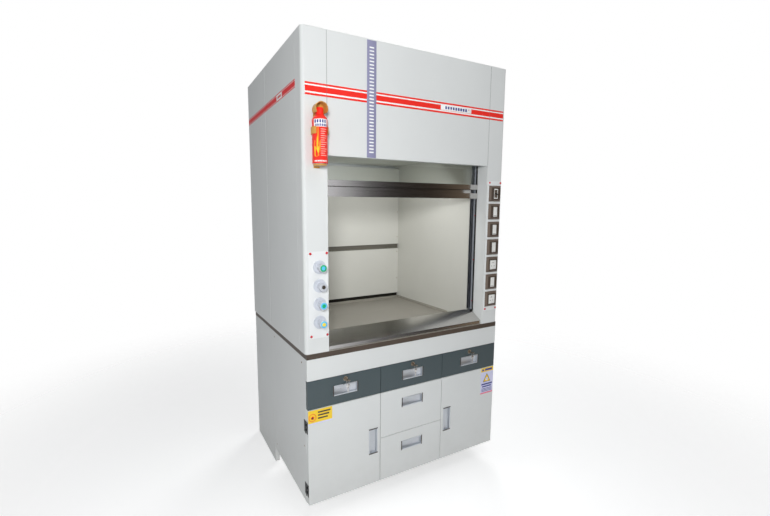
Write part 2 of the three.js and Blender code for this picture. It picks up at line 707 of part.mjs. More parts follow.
// Wall bracket: back strap, foot cup, spring clip and a hooded guard round the nozzle.
function bracket() {
  const { x, y } = BOTTLE;
  const strap = box([x - 14, -3, BOTTLE.bottom - 12], [x + 14, -GAP, SHROUD.z + 20]);
  const cup = barZ(x, y, 29, BOTTLE.bottom - 6, BOTTLE.bottom - GAP);
  const shelf = box([x - 14, y, BOTTLE.bottom - 6], [x + 14, -1, BOTTLE.bottom - 2]);
  const ring = barZ(x, y, CLIP.outer, CLIP.z0, CLIP.z1, 40)
    .subtract(barZ(x, y, CLIP.inner, CLIP.z0 - 1, CLIP.z1 + 1, 40))
    .subtract(box([x - 27, y - 50, CLIP.z0 - 1], [x + 27, y, CLIP.z1 + 1]));
  const tab = box([x - 14, -4, CLIP.z0], [x + 14, -1, CLIP.z1]);
  const guard = barY(x, SHROUD.z, SHROUD.radius, SHROUD.front, SHROUD.back, 36)
    .subtract(barY(x, SHROUD.z, SHROUD.radius - 2.5, SHROUD.front - 1, SHROUD.back - 3, 36))
    .subtract(box([x - 40, SHROUD.front - 1, SHROUD.z - 40], [x + 40, SHROUD.back + 1, SHROUD.z - 15]))
    .subtract(barZ(x, y, BOTTLE.neck + 2.3, SHROUD.z - 40, BOTTLE.bottom + 236));
  const arm = box([x - 10, SHROUD.back - 2, SHROUD.z + 10], [x + 10, -1, SHROUD.z + 22]);
  return joined(strap, cup, shelf, ring, tab, guard, arm);
}

function addExtinguisher() {
  add("extinguisher", bottle(), "redPaint", [BOTTLE.x, BOTTLE.y, 0]);
  add("extinguisher_bracket", bracket(), "ochrePaint");
}

// ---------------------------------------------------------------- whole object
addCabinet();
addFronts();
addWorktop();
addShell();
addSash();
addServices();
addExtinguisher();

// The part's own frame: the middle of its footprint, on the floor.
hood.position.set(-HOOD_WIDTH / 2, -(HOOD_DEPTH - FRONT_REACH) / 2, FOOT_HEIGHT);
const root = new THREE.Group();
root.add(hood);

export default root;
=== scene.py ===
# %% [markdown]
# # A laboratory fume hood
# The cabinet, sash and switches already exist as fixed parts. This lesson lights them, gives each
# one a worked finish, and models the small fittings that make a fume hood look real: bezels, hinges,
# slides, socket faces, valve caps and labels.

# %% Load the fixed parts
import json
import math

import bmesh
import bpy
from mathutils import Matrix, Vector


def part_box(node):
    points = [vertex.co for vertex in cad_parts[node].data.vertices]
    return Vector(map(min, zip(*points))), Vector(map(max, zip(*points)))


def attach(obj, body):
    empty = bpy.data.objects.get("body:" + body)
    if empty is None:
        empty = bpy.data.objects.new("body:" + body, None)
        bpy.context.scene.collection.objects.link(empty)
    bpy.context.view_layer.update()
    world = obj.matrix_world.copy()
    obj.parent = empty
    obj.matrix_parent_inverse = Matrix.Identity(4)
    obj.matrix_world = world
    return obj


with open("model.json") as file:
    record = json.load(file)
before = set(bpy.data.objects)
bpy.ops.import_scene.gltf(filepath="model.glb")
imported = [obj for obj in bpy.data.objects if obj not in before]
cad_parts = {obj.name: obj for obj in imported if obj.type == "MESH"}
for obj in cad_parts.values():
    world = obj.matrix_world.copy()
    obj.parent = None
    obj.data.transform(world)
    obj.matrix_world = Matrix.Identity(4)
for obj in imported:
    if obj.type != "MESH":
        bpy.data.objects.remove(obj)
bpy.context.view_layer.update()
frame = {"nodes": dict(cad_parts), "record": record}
nodes = frame["nodes"]

# %% [markdown]
# Every fitting is placed from the parts around it. The hood's left side, its front plane and the
# underside of the cabinet give three planes to measure from, in millimetres, as a fitter would.

# %% A measuring corner
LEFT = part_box("hood_side_left")[0].x
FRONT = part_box("header_panel")[0].y
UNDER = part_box("base_bottom")[0].z
WIDTH = (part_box("hood_side_right")[1].x - LEFT) * 1000


def at(x, y, z):
    return Vector((LEFT + x / 1000, FRONT + y / 1000, UNDER + z / 1000))


def mm_box(node):
    low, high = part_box(node)
    corner = Vector((LEFT, FRONT, UNDER))
    return (low - corner) * 1000, (high - corner) * 1000


print("hood width in mm:", round(WIDTH, 1))

# %% [markdown]
# The camera stands low and close with a wide lens, so the near corner looks tall and the far side
# falls away. A small lens shift moves the hood off centre without tilting its uprights.

# %% Camera
def aim(yaw, pitch, roll):
    y, p, r = (math.radians(a) for a in (yaw, pitch, roll))
    ahead = Vector((math.sin(y) * math.cos(p), math.cos(y) * math.cos(p), math.sin(p)))
    side = ahead.cross(Vector((0, 0, 1))).normalized()
    up = side.cross(ahead)
    across = side * math.cos(r) + up * math.sin(r)
    upward = up * math.cos(r) - side * math.sin(r)
    turn = Matrix((across, upward, -ahead)).transposed()
    return turn.to_4x4()


camera_data = bpy.data.cameras.new("camera")
camera = bpy.data.objects.new("camera", camera_data)
bpy.context.scene.collection.objects.link(camera)
camera.matrix_world = Matrix.Translation((-1.2353, -2.0278, 1.4981)) @ aim(26.358, -6.831, -0.335)
camera_data.sensor_width = 36
camera_data.lens = 18.156
camera_data.shift_x = 0.0606
camera_data.shift_y = 0.0017
camera_data.clip_start = 0.01
bpy.context.scene.camera = camera
print("lens:", round(camera_data.lens, 2), "mm")

# %% [markdown]
# White steel shows its shape only through soft differences in brightness. A broad light left of the
# camera favours the front, so the side falls to a middle grey, and a pale sky fills the shadows.
# The world is built from a few backdrops, and the kind of ray chooses between them.

# %% World
world = bpy.data.worlds.new("studio")
bpy.context.scene.world = world
world.use_nodes = True
sky = world.node_tree
sky.nodes.clear()


def backdrop(strength, colour=(1, 1, 1, 1)):
    node = sky.nodes.new("ShaderNodeBackground")
    node.inputs["Color"].default_value = colour
    node.inputs["Strength"].default_value = strength
    return node


def either(mask, plain, chosen):
    mix = sky.nodes.new("ShaderNodeMixShader")
    sky.links.new(mask, mix.inputs["Fac"])
    sky.links.new(plain, mix.inputs[1])
    sky.links.new(chosen, mix.inputs[2])
    return mix.outputs[0]


def sky_math(operation, a, b=None):
    node = sky.nodes.new("ShaderNodeMath")
    node.operation = operation
    for index, value in enumerate((a, b)):
        if isinstance(value, (int, float)):
            node.inputs[index].default_value = value
        elif value is not None:
            sky.links.new(value, node.inputs[index])
    return node.outputs[0]


print("world:", world.name)

# %% [markdown]
# Brushed steel has little colour of its own and is drawn by what it mirrors. A ramp round the
# compass gives gloss a pale wall on the left, a dark doorway and a warm shaded corner on the right.
# Only glossy rays see it, so the backdrop stays plain white.

# %% The room that gloss sees
OVERHEAD = (0.84, 0.92)
FILL_STRENGTH = 0.28
# Each stop is a place round the room, with 0.5 straight ahead, and the colour there.
ROOM = [
    (0.00, (0.42, 0.42, 0.42)), (0.40, (0.62, 0.63, 0.65)), (0.562, (0.95, 0.96, 1.00)),
    (0.590, (0.012, 0.008, 0.006)), (0.612, (0.015, 0.010, 0.007)), (0.634, (0.26, 0.20, 0.145)),
    (0.72, (0.20, 0.175, 0.15)), (0.82, (0.40, 0.40, 0.40)),
]
way = sky.nodes.new("ShaderNodeSeparateXYZ")
sky.links.new(sky.nodes.new("ShaderNodeTexCoord").outputs["Generated"], way.inputs[0])
turn = sky_math("ARCTAN2", way.outputs["X"], sky_math("MULTIPLY", way.outputs["Y"], -1.0))
round_room = sky_math("ADD", sky_math("DIVIDE", turn, 2 * math.pi), 0.5)
ramp = sky.nodes.new("ShaderNodeValToRGB")
ramp.color_ramp.interpolation = "EASE"
for index, (place, colour) in enumerate(ROOM):
    stop = ramp.color_ramp.elements[index] if index < 2 else ramp.color_ramp.elements.new(place)
    stop.position = place
    stop.color = (*colour, 1)
sky.links.new(round_room, ramp.inputs["Fac"])
overhead = sky.nodes.new("ShaderNodeMapRange")
overhead.interpolation_type = "SMOOTHSTEP"
overhead.inputs["From Min"].default_value = OVERHEAD[0]
overhead.inputs["From Max"].default_value = OVERHEAD[1]
sky.links.new(way.outputs["Z"], overhead.inputs["Value"])
walls = backdrop(1.0)
sky.links.new(ramp.outputs["Color"], walls.inputs["Color"])
room = either(overhead.outputs["Result"], walls.outputs[0], backdrop(0.95).outputs[0])
ray = sky.nodes.new("ShaderNodeLightPath")
fill = backdrop(FILL_STRENGTH, (0.96, 0.98, 1.0, 1)).outputs[0]
inside_out = either(ray.outputs["Is Glossy Ray"], fill, room)
view = either(ray.outputs["Is Camera Ray"], inside_out, backdrop(1.0).outputs[0])
sky.links.new(view, sky.nodes.new("ShaderNodeOutputWorld").inputs["Surface"])
print("room stops:", len(ROOM))

# %% [markdown]
# Each lamp is a soft round panel. The front one models the doors and drawers, and a small one hangs
# inside the hood where its tube would be. None shows as a disc in glass or steel, because a studio
# hides its lamps from polished work.

# %% Lights
HOOD_MIDDLE = (0.0, -0.2, 1.15)


def soft_light(name, place, size, watts, target=HOOD_MIDDLE):
    data = bpy.data.lights.new(name, "AREA")
    data.shape = "DISK"
    data.size = size
    data.energy = watts
    lamp = bpy.data.objects.new(name, data)
    bpy.context.scene.collection.objects.link(lamp)
    lamp.location = place
    lamp.rotation_euler = (Vector(target) - Vector(place)).to_track_quat("-Z", "Y").to_euler()
    lamp.visible_camera = False
    lamp.visible_transmission = False
    lamp.visible_glossy = False


soft_light("front_light", (-1.6, -2.5, 1.9), 0.45, 50)
soft_light("left_light", (-3.6, -1.8, 2.2), 1.4, 2)
soft_light("top_light", (0.3, -1.6, 4.0), 1.8, 16)
soft_light("inside_light", (0.1, -0.22, 1.78), 0.4, 3.8, (-0.1, 0.35, 1.0))
soft_light("back_light", (2.6, 2.9, 2.3), 1.8, 60, (0.2, 0.3, 1.1))
bpy.context.scene.view_settings.view_transform = "Standard"
print("lights ready")

# %% [markdown]
# Adding and shaping follow the same steps for every fitting: clear the selection, add a primitive
# at its size and place, shape it in edit mode, then set the mesh at the origin so that a pattern
# stays put. These helpers hold the steps that repeat.

# %% Helpers for modelling
def fresh():
    if bpy.context.object and bpy.context.object.mode != "OBJECT":
        bpy.ops.object.mode_set(mode="OBJECT")
    bpy.ops.object.select_all(action="DESELECT")


def only(piece):
    fresh()
    piece.select_set(True)
    bpy.context.view_layer.objects.active = piece
    return piece


def apply_place(piece):
    only(piece)
    bpy.ops.object.transform_apply(location=True, rotation=True, scale=True)
    return piece


def shape_mode(piece, kind="FACE"):
    only(piece)
    bpy.ops.object.mode_set(mode="EDIT")
    bpy.ops.mesh.select_mode(type=kind)
    bpy.ops.mesh.select_all(action="DESELECT")
    return bmesh.from_edit_mesh(piece.data)


def select_faces(mesh, test):
    for face in mesh.faces:
        face.select_set(bool(test(face)))
    mesh.select_flush_mode()


def select_edges(mesh, test):
    for edge in mesh.edges:
        edge.select_set(bool(test(edge)))
    mesh.select_flush_mode()


def done(piece):
    bpy.ops.mesh.select_all(action="SELECT")
    bpy.ops.mesh.normals_make_consistent(inside=False)
    bpy.ops.object.mode_set(mode="OBJECT")
    return piece


def smooth(piece, degrees=35):
    only(piece)
    bpy.ops.object.shade_smooth_by_angle(angle=math.radians(degrees))
    return piece


def use(piece, kind, **settings):
    only(piece)
    modifier = piece.modifiers.new(kind.title(), kind)
    for name, value in settings.items():
        setattr(modifier, name, value)
    bpy.ops.object.modifier_apply(modifier=modifier.name)


print("modelling helpers ready")

# %% [markdown]
# Sheet metal and mouldings never have knife edges. Flat pieces start as a block and round pieces as
# a length of bar, and both have their edges eased before anything else is done to them.

# %% Flat and round stock with eased edges
FRONT_TO_BACK = (math.pi / 2, 0, 0)
LEFT_TO_RIGHT = (0, math.pi / 2, 0)
# An edge counts as a corner when its two faces turn by more than this many radians.
SHARP = 1.2
# No edge is eased by more than this share of the piece's thinnest side.
EASE_LIMIT = 0.45


def block(name, low, high):
    """A square block from one corner to the other in hood millimetres."""
    a, b = at(*low), at(*high)
    fresh()
    bpy.ops.mesh.primitive_cube_add(size=1, location=(a + b) / 2)
    piece = bpy.context.object
    piece.name = name
    piece.scale = b - a
    return apply_place(piece)


def plate(name, low, high, ease=0.4, steps=2):
    """A flat piece from one corner to the other, with its edges eased."""
    piece = block(name, low, high)
    ease = min(ease / 1000, EASE_LIMIT * min(at(*high) - at(*low)))
    shape_mode(piece, "EDGE")
    bpy.ops.mesh.select_all(action="SELECT")
    bpy.ops.mesh.bevel(offset=ease, segments=steps, affect="EDGES")
    return smooth(done(piece))


def turned(name, centre, radius, length, turn, sides, ease):
    """A round piece with the edges of both its ends eased."""
    fresh()
    bpy.ops.mesh.primitive_cylinder_add(
        vertices=sides, radius=radius / 1000, depth=length / 1000, location=at(*centre), rotation=turn,
    )
    piece = bpy.context.object
    piece.name = name
    apply_place(piece)
    mesh = shape_mode(piece, "EDGE")
    select_edges(mesh, lambda edge: edge.calc_face_angle(0) > SHARP)
    bpy.ops.mesh.bevel(offset=ease / 1000, segments=2, affect="EDGES")
    return done(piece)


def disc(name, centre, radius, y0, y1, sides=40, ease=0.4):
    """A round piece that lies along the front-to-back axis."""
    middle = (centre[0], (y0 + y1) / 2, centre[1])
    return smooth(turned(name, middle, radius, y1 - y0, FRONT_TO_BACK, sides, ease))


def upright(name, x, y, radius, z0, z1, sides=24, ease=0.3):
    """A round piece that stands on end."""
    return smooth(turned(name, (x, y, (z0 + z1) / 2), radius, z1 - z0, (0, 0, 0), sides, ease))


print("stock shapes ready")

# %% [markdown]
# Pieces made of several parts are joined, right-hand pieces are mirror copies of left-hand ones, and
# every finished piece gets its material and the body that carries it.

# %% Joining, mirroring and fitting
def join(name, pieces):
    fresh()
    for piece in pieces:
        piece.select_set(True)
    bpy.context.view_layer.objects.active = pieces[0]
    if len(pieces) > 1:
        bpy.ops.object.join()
    whole = bpy.context.object
    whole.name = name
    return apply_place(whole)


def mirror_to(piece, name):
    """A copy on the other side of the hood, turned right side out."""
    twin = bpy.data.objects.new(name, piece.data.copy())
    bpy.context.scene.collection.objects.link(twin)
    middle = at(WIDTH / 2, 0, 0).x
    flip = Matrix.Translation((2 * middle, 0, 0)) @ Matrix.Diagonal((-1, 1, 1, 1))
    twin.data.transform(flip)
    twin.data.flip_normals()
    return twin


def fit(piece, body, material):
    piece.data.materials.clear()
    piece.data.materials.append(material)
    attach(piece, body)


def fit_both(piece, twin_name, material, body="hood", twin_body="hood"):
    """Fit a piece, and its mirror copy on the other side of the hood."""
    fit(mirror_to(piece, twin_name), twin_body, material)
    fit(piece, body, material)


print("fitting helpers ready")

# %% [markdown]
# A finish is more than a colour. Powder coat has a fine orange peel, steel has long rolling marks,
# and everything near the floor gathers dust. Each effect is built once as a node group that gives
# out values and masks only, and each material places it with its own amounts.

# %% Helpers for node groups
def new_group(name, inputs, outputs):
    group = bpy.data.node_groups.new(name, "ShaderNodeTree")
    for label, kind, value in inputs:
        socket = group.interface.new_socket(name=label, in_out="INPUT", socket_type=kind)
        socket.default_value = value
    for label, kind in outputs:
        group.interface.new_socket(name=label, in_out="OUTPUT", socket_type=kind)
    start = group.nodes.new("NodeGroupInput")
    end = group.nodes.new("NodeGroupOutput")
    return group, start, end


def math_node(tree, operation, a, b=None, clamp=False):
    node = tree.nodes.new("ShaderNodeMath")
    node.operation = operation
    node.use_clamp = clamp
    for index, value in enumerate((a, b)):
        if value is None:
            continue
        if isinstance(value, (int, float)):
            node.inputs[index].default_value = value
        else:
            tree.links.new(value, node.inputs[index])
    return node.outputs[0]


def noise_node(tree, vector, scale, detail=3.0, roughness=0.5):
    node = tree.nodes.new("ShaderNodeTexNoise")
    node.inputs["Detail"].default_value = detail
    node.inputs["Roughness"].default_value = roughness
    if isinstance(scale, (int, float)):
        node.inputs["Scale"].default_value = scale
    else:
        tree.links.new(scale, node.inputs["Scale"])
    tree.links.new(vector, node.inputs["Vector"])
    return node.outputs["Fac"]


def object_axes(tree):
    """The Object coordinates as three separate values."""
    axes = tree.nodes.new("ShaderNodeSeparateXYZ")
    tree.links.new(tree.nodes.new("ShaderNodeTexCoord").outputs["Object"], axes.inputs[0])
    return axes.outputs


print("node helpers ready")

# %% [markdown]
# Powder is sprayed dry and melted on, so its skin ripples like orange peel. A fine noise gives the
# ripple, and a broad one lets the sheen wander a little from place to place.

# %% Peel: the fine skin of sprayed powder
peel, start, end = new_group(
    "powder_peel",
    [("Scale", "NodeSocketFloat", 900.0), ("Spread", "NodeSocketFloat", 0.1)],
    [("Height", "NodeSocketFloat"), ("Roughness", "NodeSocketFloat"), ("Mottle", "NodeSocketFloat")],
)
coords = peel.nodes.new("ShaderNodeTexCoord").outputs["Object"]
fine = noise_node(peel, coords, start.outputs["Scale"], 2.0)
broad = noise_node(peel, coords, 3.2, 5.0, 0.6)
peel.links.new(fine, end.inputs["Height"])
swing = math_node(peel, "SUBTRACT", broad, 0.5)
change = math_node(peel, "MULTIPLY", swing, start.outputs["Spread"])
peel.links.new(math_node(peel, "ADD", change, 0.40), end.inputs["Roughness"])
peel.links.new(broad, end.inputs["Mottle"])
print("group:", peel.name)

# %% [markdown]
# Rolled and brushed metal carries marks that run one way. The same noise makes them when space is
# stretched along that way, and slow clouds stop the sheet from looking printed.

# %% Grain: long marks left by rolling and brushing
grain, start, end = new_group(
    "brushed_grain",
    [("Along", "NodeSocketVector", (6.0, 700.0, 700.0)), ("Base", "NodeSocketFloat", 0.28)],
    [("Height", "NodeSocketFloat"), ("Roughness", "NodeSocketFloat"), ("Streak", "NodeSocketFloat")],
)
coords = grain.nodes.new("ShaderNodeTexCoord").outputs["Object"]
stretch = grain.nodes.new("ShaderNodeVectorMath")
stretch.operation = "MULTIPLY"
grain.links.new(coords, stretch.inputs[0])
grain.links.new(start.outputs["Along"], stretch.inputs[1])
marks = noise_node(grain, stretch.outputs[0], 1.0, 4.0, 0.65)
clouds = noise_node(grain, coords, 5.0, 3.0)
grain.links.new(marks, end.inputs["Height"])
rough_marks = math_node(grain, "MULTIPLY", marks, 0.22)
rough = math_node(grain, "ADD", start.outputs["Base"], rough_marks)
grain.links.new(rough, end.inputs["Roughness"])
streak_marks = math_node(grain, "MULTIPLY", marks, 0.6)
streak_clouds = math_node(grain, "MULTIPLY", clouds, 0.4)
grain.links.new(math_node(grain, "ADD", streak_marks, streak_clouds), end.inputs["Streak"])
print("group:", grain.name)

# %% [markdown]
# Dust settles low down. The mask falls with height, and noise breaks it into patches.

# %% Dust: a mask that gathers low down and in patches
dust, start, end = new_group(
    "floor_dust",
    [("Reach", "NodeSocketFloat", 0.35), ("Amount", "NodeSocketFloat", 0.35)],
    [("Mask", "NodeSocketFloat")],
)
coords = dust.nodes.new("ShaderNodeTexCoord").outputs["Object"]
climb = math_node(dust, "DIVIDE", object_axes(dust)["Z"], start.outputs["Reach"])
near_floor = math_node(dust, "SUBTRACT", 1.0, climb, True)
patchy = noise_node(dust, coords, 14.0, 6.0, 0.65)
settled = math_node(dust, "MULTIPLY", near_floor, patchy)
mask = math_node(dust, "MULTIPLY", settled, start.outputs["Amount"], True)
dust.links.new(mask, end.inputs["Mask"])
print("group:", dust.name)

# %% [markdown]
# A material keeps its shader in the open and places the groups around it. A colour that changes over
# the surface runs through a mix, and a number that never changes is typed on the shader itself.

# %% Helpers for materials
def new_material(name, metallic=0.0, **constants):
    material = bpy.data.materials.new(name)
    material.use_nodes = True
    tree = material.node_tree
    shader = tree.nodes["Principled BSDF"]
    shader.inputs["Metallic"].default_value = metallic
    for label, value in constants.items():
        shader.inputs[label.replace("_", " ")].default_value = value
    return material, tree, shader


def place_group(tree, group, **values):
    node = tree.nodes.new("ShaderNodeGroup")
    node.node_tree = group
    for label, value in values.items():
        node.inputs[label].default_value = value
    return node


def tint(tree, factor, dark, light, shader=None):
    mix = tree.nodes.new("ShaderNodeMix")
    mix.data_type = "RGBA"
    if isinstance(factor, (int, float)):
        mix.inputs[0].default_value = factor
    else:
        tree.links.new(factor, mix.inputs[0])
    for index, colour in ((6, dark), (7, light)):
        if isinstance(colour, tuple):
            mix.inputs[index].default_value = (*colour, 1)
        else:
            tree.links.new(colour, mix.inputs[index])
    if shader:
        tree.links.new(mix.outputs[2], shader.inputs["Base Color"])
    return mix.outputs[2]


def bump(tree, height, shader, depth, strength=0.5):
    node = tree.nodes.new("ShaderNodeBump")
    node.inputs["Strength"].default_value = strength
    node.inputs["Distance"].default_value = depth
    tree.links.new(height, node.inputs["Height"])
    tree.links.new(node.outputs["Normal"], shader.inputs["Normal"])


def powder_coat(name, dark, light, scale=900.0, spread=0.12, dusty=0.35, **constants):
    material, tree, shader = new_material(name, **constants)
    skin = place_group(tree, peel, Scale=scale, Spread=spread)
    dirt = place_group(tree, dust, Reach=0.45, Amount=dusty)
    base = tint(tree, skin.outputs["Mottle"], dark, light)
    tint(tree, dirt.outputs["Mask"], base, (0.42, 0.40, 0.36), shader)
    tree.links.new(skin.outputs["Roughness"], shader.inputs["Roughness"])
    bump(tree, skin.outputs["Height"], shader, 0.00006, 0.35)
    return material


def brushed_metal(name, dark, light, along, base=0.28, depth=0.00003, metallic=1.0):
    material, tree, shader = new_material(name, metallic=metallic)
    lines = place_group(tree, grain, Along=along, Base=base)
    tint(tree, lines.outputs["Streak"], dark, light, shader)
    tree.links.new(lines.outputs["Roughness"], shader.inputs["Roughness"])
    bump(tree, lines.outputs["Height"], shader, depth, 0.4)
    return material


def moulded(name, dark, light, scale=1400.0, **constants):
    material, tree, shader = new_material(name, **constants)
    skin = place_group(tree, peel, Scale=scale, Spread=0.10)
    tint(tree, skin.outputs["Mottle"], dark, light, shader)
    tree.links.new(skin.outputs["Roughness"], shader.inputs["Roughness"])
    bump(tree, skin.outputs["Height"], shader, 0.00003, 0.25)
    return material


print("material helpers ready")

# %% [markdown]
# These are the finishes that a maker would order: sprayed steel, brushed and plated steel, moulded
# plastic, enamel, rubber and printed film. Each has a darker and a lighter shade that its own
# mottle or grain mixes, so no surface is one flat colour.

# %% Finishes
white_coat = powder_coat("white_powder_coat", (0.66, 0.68, 0.68), (0.72, 0.74, 0.735))
slate_coat = powder_coat(
    "slate_powder_coat", (0.036, 0.058, 0.065), (0.050, 0.074, 0.082), dusty=0.1, Specular_IOR_Level=0.85,
)
steel_across = brushed_metal(
    "steel_brushed_across", (0.52, 0.50, 0.48), (0.80, 0.79, 0.77), (3, 420, 420), 0.04, 0.00001,
)
steel_upright = brushed_metal("steel_brushed_upright", (0.34, 0.36, 0.40), (0.50, 0.53, 0.58), (700, 700, 5))
cup_steel = brushed_metal(
    "satin_cup_plating", (0.62, 0.65, 0.69), (0.70, 0.73, 0.77), (6, 140, 140), 0.20, 0.000001, metallic=0.85,
)
nickel = brushed_metal("worn_nickel", (0.30, 0.23, 0.16), (0.66, 0.58, 0.48), (300, 300, 300), 0.16)
key_steel = brushed_metal("bright_key_steel", (0.62, 0.60, 0.58), (0.88, 0.87, 0.85), (200, 200, 40), 0.12)
iron = powder_coat("cast_iron_skin", (0.05, 0.05, 0.052), (0.10, 0.10, 0.10), scale=320.0, spread=0.3)
lining_board = moulded("lining_board", (0.60, 0.60, 0.555), (0.66, 0.66, 0.615), 500.0)
diffuser = moulded("frosted_diffuser", (0.80, 0.82, 0.82), (0.88, 0.90, 0.90))
bronze_plastic = moulded("bronze_plastic", (0.085, 0.062, 0.048), (0.130, 0.098, 0.078), metallic=0.55)
white_plastic = moulded("white_switch_plastic", (0.80, 0.80, 0.77), (0.86, 0.86, 0.84))
black_plastic = moulded("black_plastic", (0.010, 0.010, 0.011), (0.022, 0.022, 0.024))
pale_enamel = moulded("pale_valve_enamel", (0.54, 0.57, 0.63), (0.63, 0.66, 0.72))
red_enamel = moulded("red_enamel", (0.84, 0.016, 0.010), (0.93, 0.030, 0.016), Coat_Weight=0.25)
cap_red = moulded("cap_red", (0.52, 0.002, 0.012), (0.62, 0.004, 0.020))
# Painted shade: a near-black for gaps and slots that fall in shadow.
painted_shade_black = moulded("painted_shade_unlit", (0.012, 0.011, 0.009), (0.024, 0.022, 0.018), Specular_IOR_Level=0.1)
# Painted shade: a dark olive for the baffle slot and its edges, which fall in shadow.
painted_shade_olive = moulded("painted_slot_shade", (0.10, 0.095, 0.075), (0.15, 0.14, 0.115))
curb_olive = moulded("worktop_curb", (0.26, 0.25, 0.21), (0.34, 0.33, 0.28), 500.0)
# Painted shade: a dark grey for the joints beside the header, where the gap falls in shadow.
painted_seam_grey = moulded("painted_seam_shade", (0.16, 0.165, 0.165), (0.22, 0.225, 0.225))
label_text = moulded("label_small_print", (0.90, 0.42, 0.36), (0.96, 0.52, 0.46))
ochre_enamel = moulded("ochre_enamel", (0.55, 0.27, 0.05), (0.68, 0.37, 0.09))
foot_rubber = powder_coat("foot_rubber", (0.018, 0.018, 0.018), (0.036, 0.036, 0.035), 260.0, 0.2, 0.9)
dark_trim = moulded("dark_trim", (0.030, 0.024, 0.020), (0.060, 0.048, 0.038))
stripe_red = moulded("stripe_red", (0.80, 0.020, 0.012), (0.88, 0.030, 0.018))
stripe_white = moulded("stripe_white", (0.86, 0.87, 0.87), (0.92, 0.93, 0.93))
band_slate = moulded("band_slate_lavender", (0.235, 0.235, 0.375), (0.285, 0.285, 0.43))
paint_yellow = moulded("label_yellow", (0.86, 0.56, 0.02), (0.94, 0.66, 0.04))
paint_orange = moulded("label_orange", (0.84, 0.20, 0.02), (0.92, 0.28, 0.03))
paint_pink = moulded("label_pink", (0.80, 0.16, 0.26), (0.88, 0.24, 0.34))
paint_lilac = moulded("label_lilac", (0.62, 0.62, 0.82), (0.70, 0.70, 0.90))
paint_navy = moulded("label_navy", (0.03, 0.04, 0.22), (0.05, 0.06, 0.28))
cap_green = moulded("cap_green", (0.004, 0.34, 0.12), (0.012, 0.44, 0.17))
cap_blue = moulded("cap_blue", (0.07, 0.48, 0.80), (0.13, 0.58, 0.90))
cap_yellow = moulded("cap_yellow", (0.88, 0.66, 0.05), (0.94, 0.74, 0.08))
cap_grey = moulded("cap_grey", (0.42, 0.44, 0.48), (0.52, 0.54, 0.58))
print("finishes:", len(bpy.data.materials))

# %% [markdown]
# The worktop is one slab with two faces to it. Its deck is a worn grey-tan, and its exposed edge is
# dark brown with fine level streaks, so the material chooses between them by height.
# The edge's dark brown is a painted reflection of brown surroundings mirrored in it.

# %% Worktop finish
worktop_finish, tree, shader = new_material("worktop_slab")
lines = place_group(tree, grain, Along=(4.0, 90.0, 900.0), Base=0.26)
skin = place_group(tree, peel, Scale=420.0, Spread=0.2)
DECK_EDGE = 756.4
deck_height = at(0, 0, DECK_EDGE).z
on_deck = math_node(tree, "GREATER_THAN", object_axes(tree)["Z"], deck_height)
# Painted reflection: the edge's dark brown stands in for brown surroundings mirrored in it.
edge_reflection_colour = tint(tree, lines.outputs["Streak"], (0.006, 0.004, 0.003), (0.135, 0.098, 0.072))
deck_colour = tint(tree, skin.outputs["Mottle"], (0.27, 0.255, 0.22), (0.36, 0.34, 0.30))
tint(tree, on_deck, edge_reflection_colour, deck_colour, shader)
tree.links.new(lines.outputs["Roughness"], shader.inputs["Roughness"])
bump(tree, skin.outputs["Height"], shader, 0.00005, 0.3)
print("deck above", round(deck_height, 4))

# %% [markdown]
# The valve plate and the switch strip are each one solid with parts that stand in front of the
# sheet: pale rosettes on one, bronze wall plates on the other. Depth tells the two apart.

# %% Service plate finishes
SHEET_FRONT = -2.6


def service_plate(name, scale, spread, sheet, raised, depth, strength, **constants):
    material, tree, shader = new_material(name, **constants)
    skin = place_group(tree, peel, Scale=scale, Spread=spread)
    forward = math_node(tree, "LESS_THAN", object_axes(tree)["Y"], at(0, SHEET_FRONT, 0).y)
    sheet_colour = tint(tree, skin.outputs["Mottle"], *sheet)
    raised_colour = tint(tree, skin.outputs["Mottle"], *raised)
    tint(tree, forward, sheet_colour, raised_colour, shader)
    tree.links.new(skin.outputs["Roughness"], shader.inputs["Roughness"])
    bump(tree, skin.outputs["Height"], shader, depth, strength)
    return material


valve_finish = service_plate(
    "valve_plate_and_rosettes", 1100.0, 0.12, ((0.74, 0.76, 0.765), (0.80, 0.82, 0.825)),
    ((0.54, 0.57, 0.63), (0.63, 0.66, 0.72)), 0.00004, 0.3,
)
switch_finish = service_plate(
    "switch_strip_and_plates", 1300.0, 0.14, ((0.76, 0.78, 0.78), (0.82, 0.84, 0.84)),
    ((0.120, 0.090, 0.070), (0.175, 0.135, 0.108)), 0.00003, 0.25, Specular_IOR_Level=0.6,
)
print("service plates:", valve_finish.name, switch_finish.name)

# %% [markdown]
# Safety glass is nearly clear from the front and faintly green through its edge. Thin, clean panes
# need almost no tint, and a little smear in the roughness keeps them from vanishing.

# %% Glass
sash_glass, tree, shader = new_material("sash_glass", Transmission_Weight=1.0, IOR=1.45)
skin = place_group(tree, peel, Scale=40.0, Spread=0.05)
tint(tree, skin.outputs["Mottle"], (0.93, 0.965, 0.95), (0.97, 0.985, 0.975), shader)
smear = math_node(tree, "MULTIPLY", skin.outputs["Mottle"], 0.05)
tree.links.new(smear, shader.inputs["Roughness"])
print("glass:", sash_glass.name)

# %% [markdown]
# The record names a material slot for every fixed part. Each slot gets its finish here, except three
# parts whose finish follows their own shape.

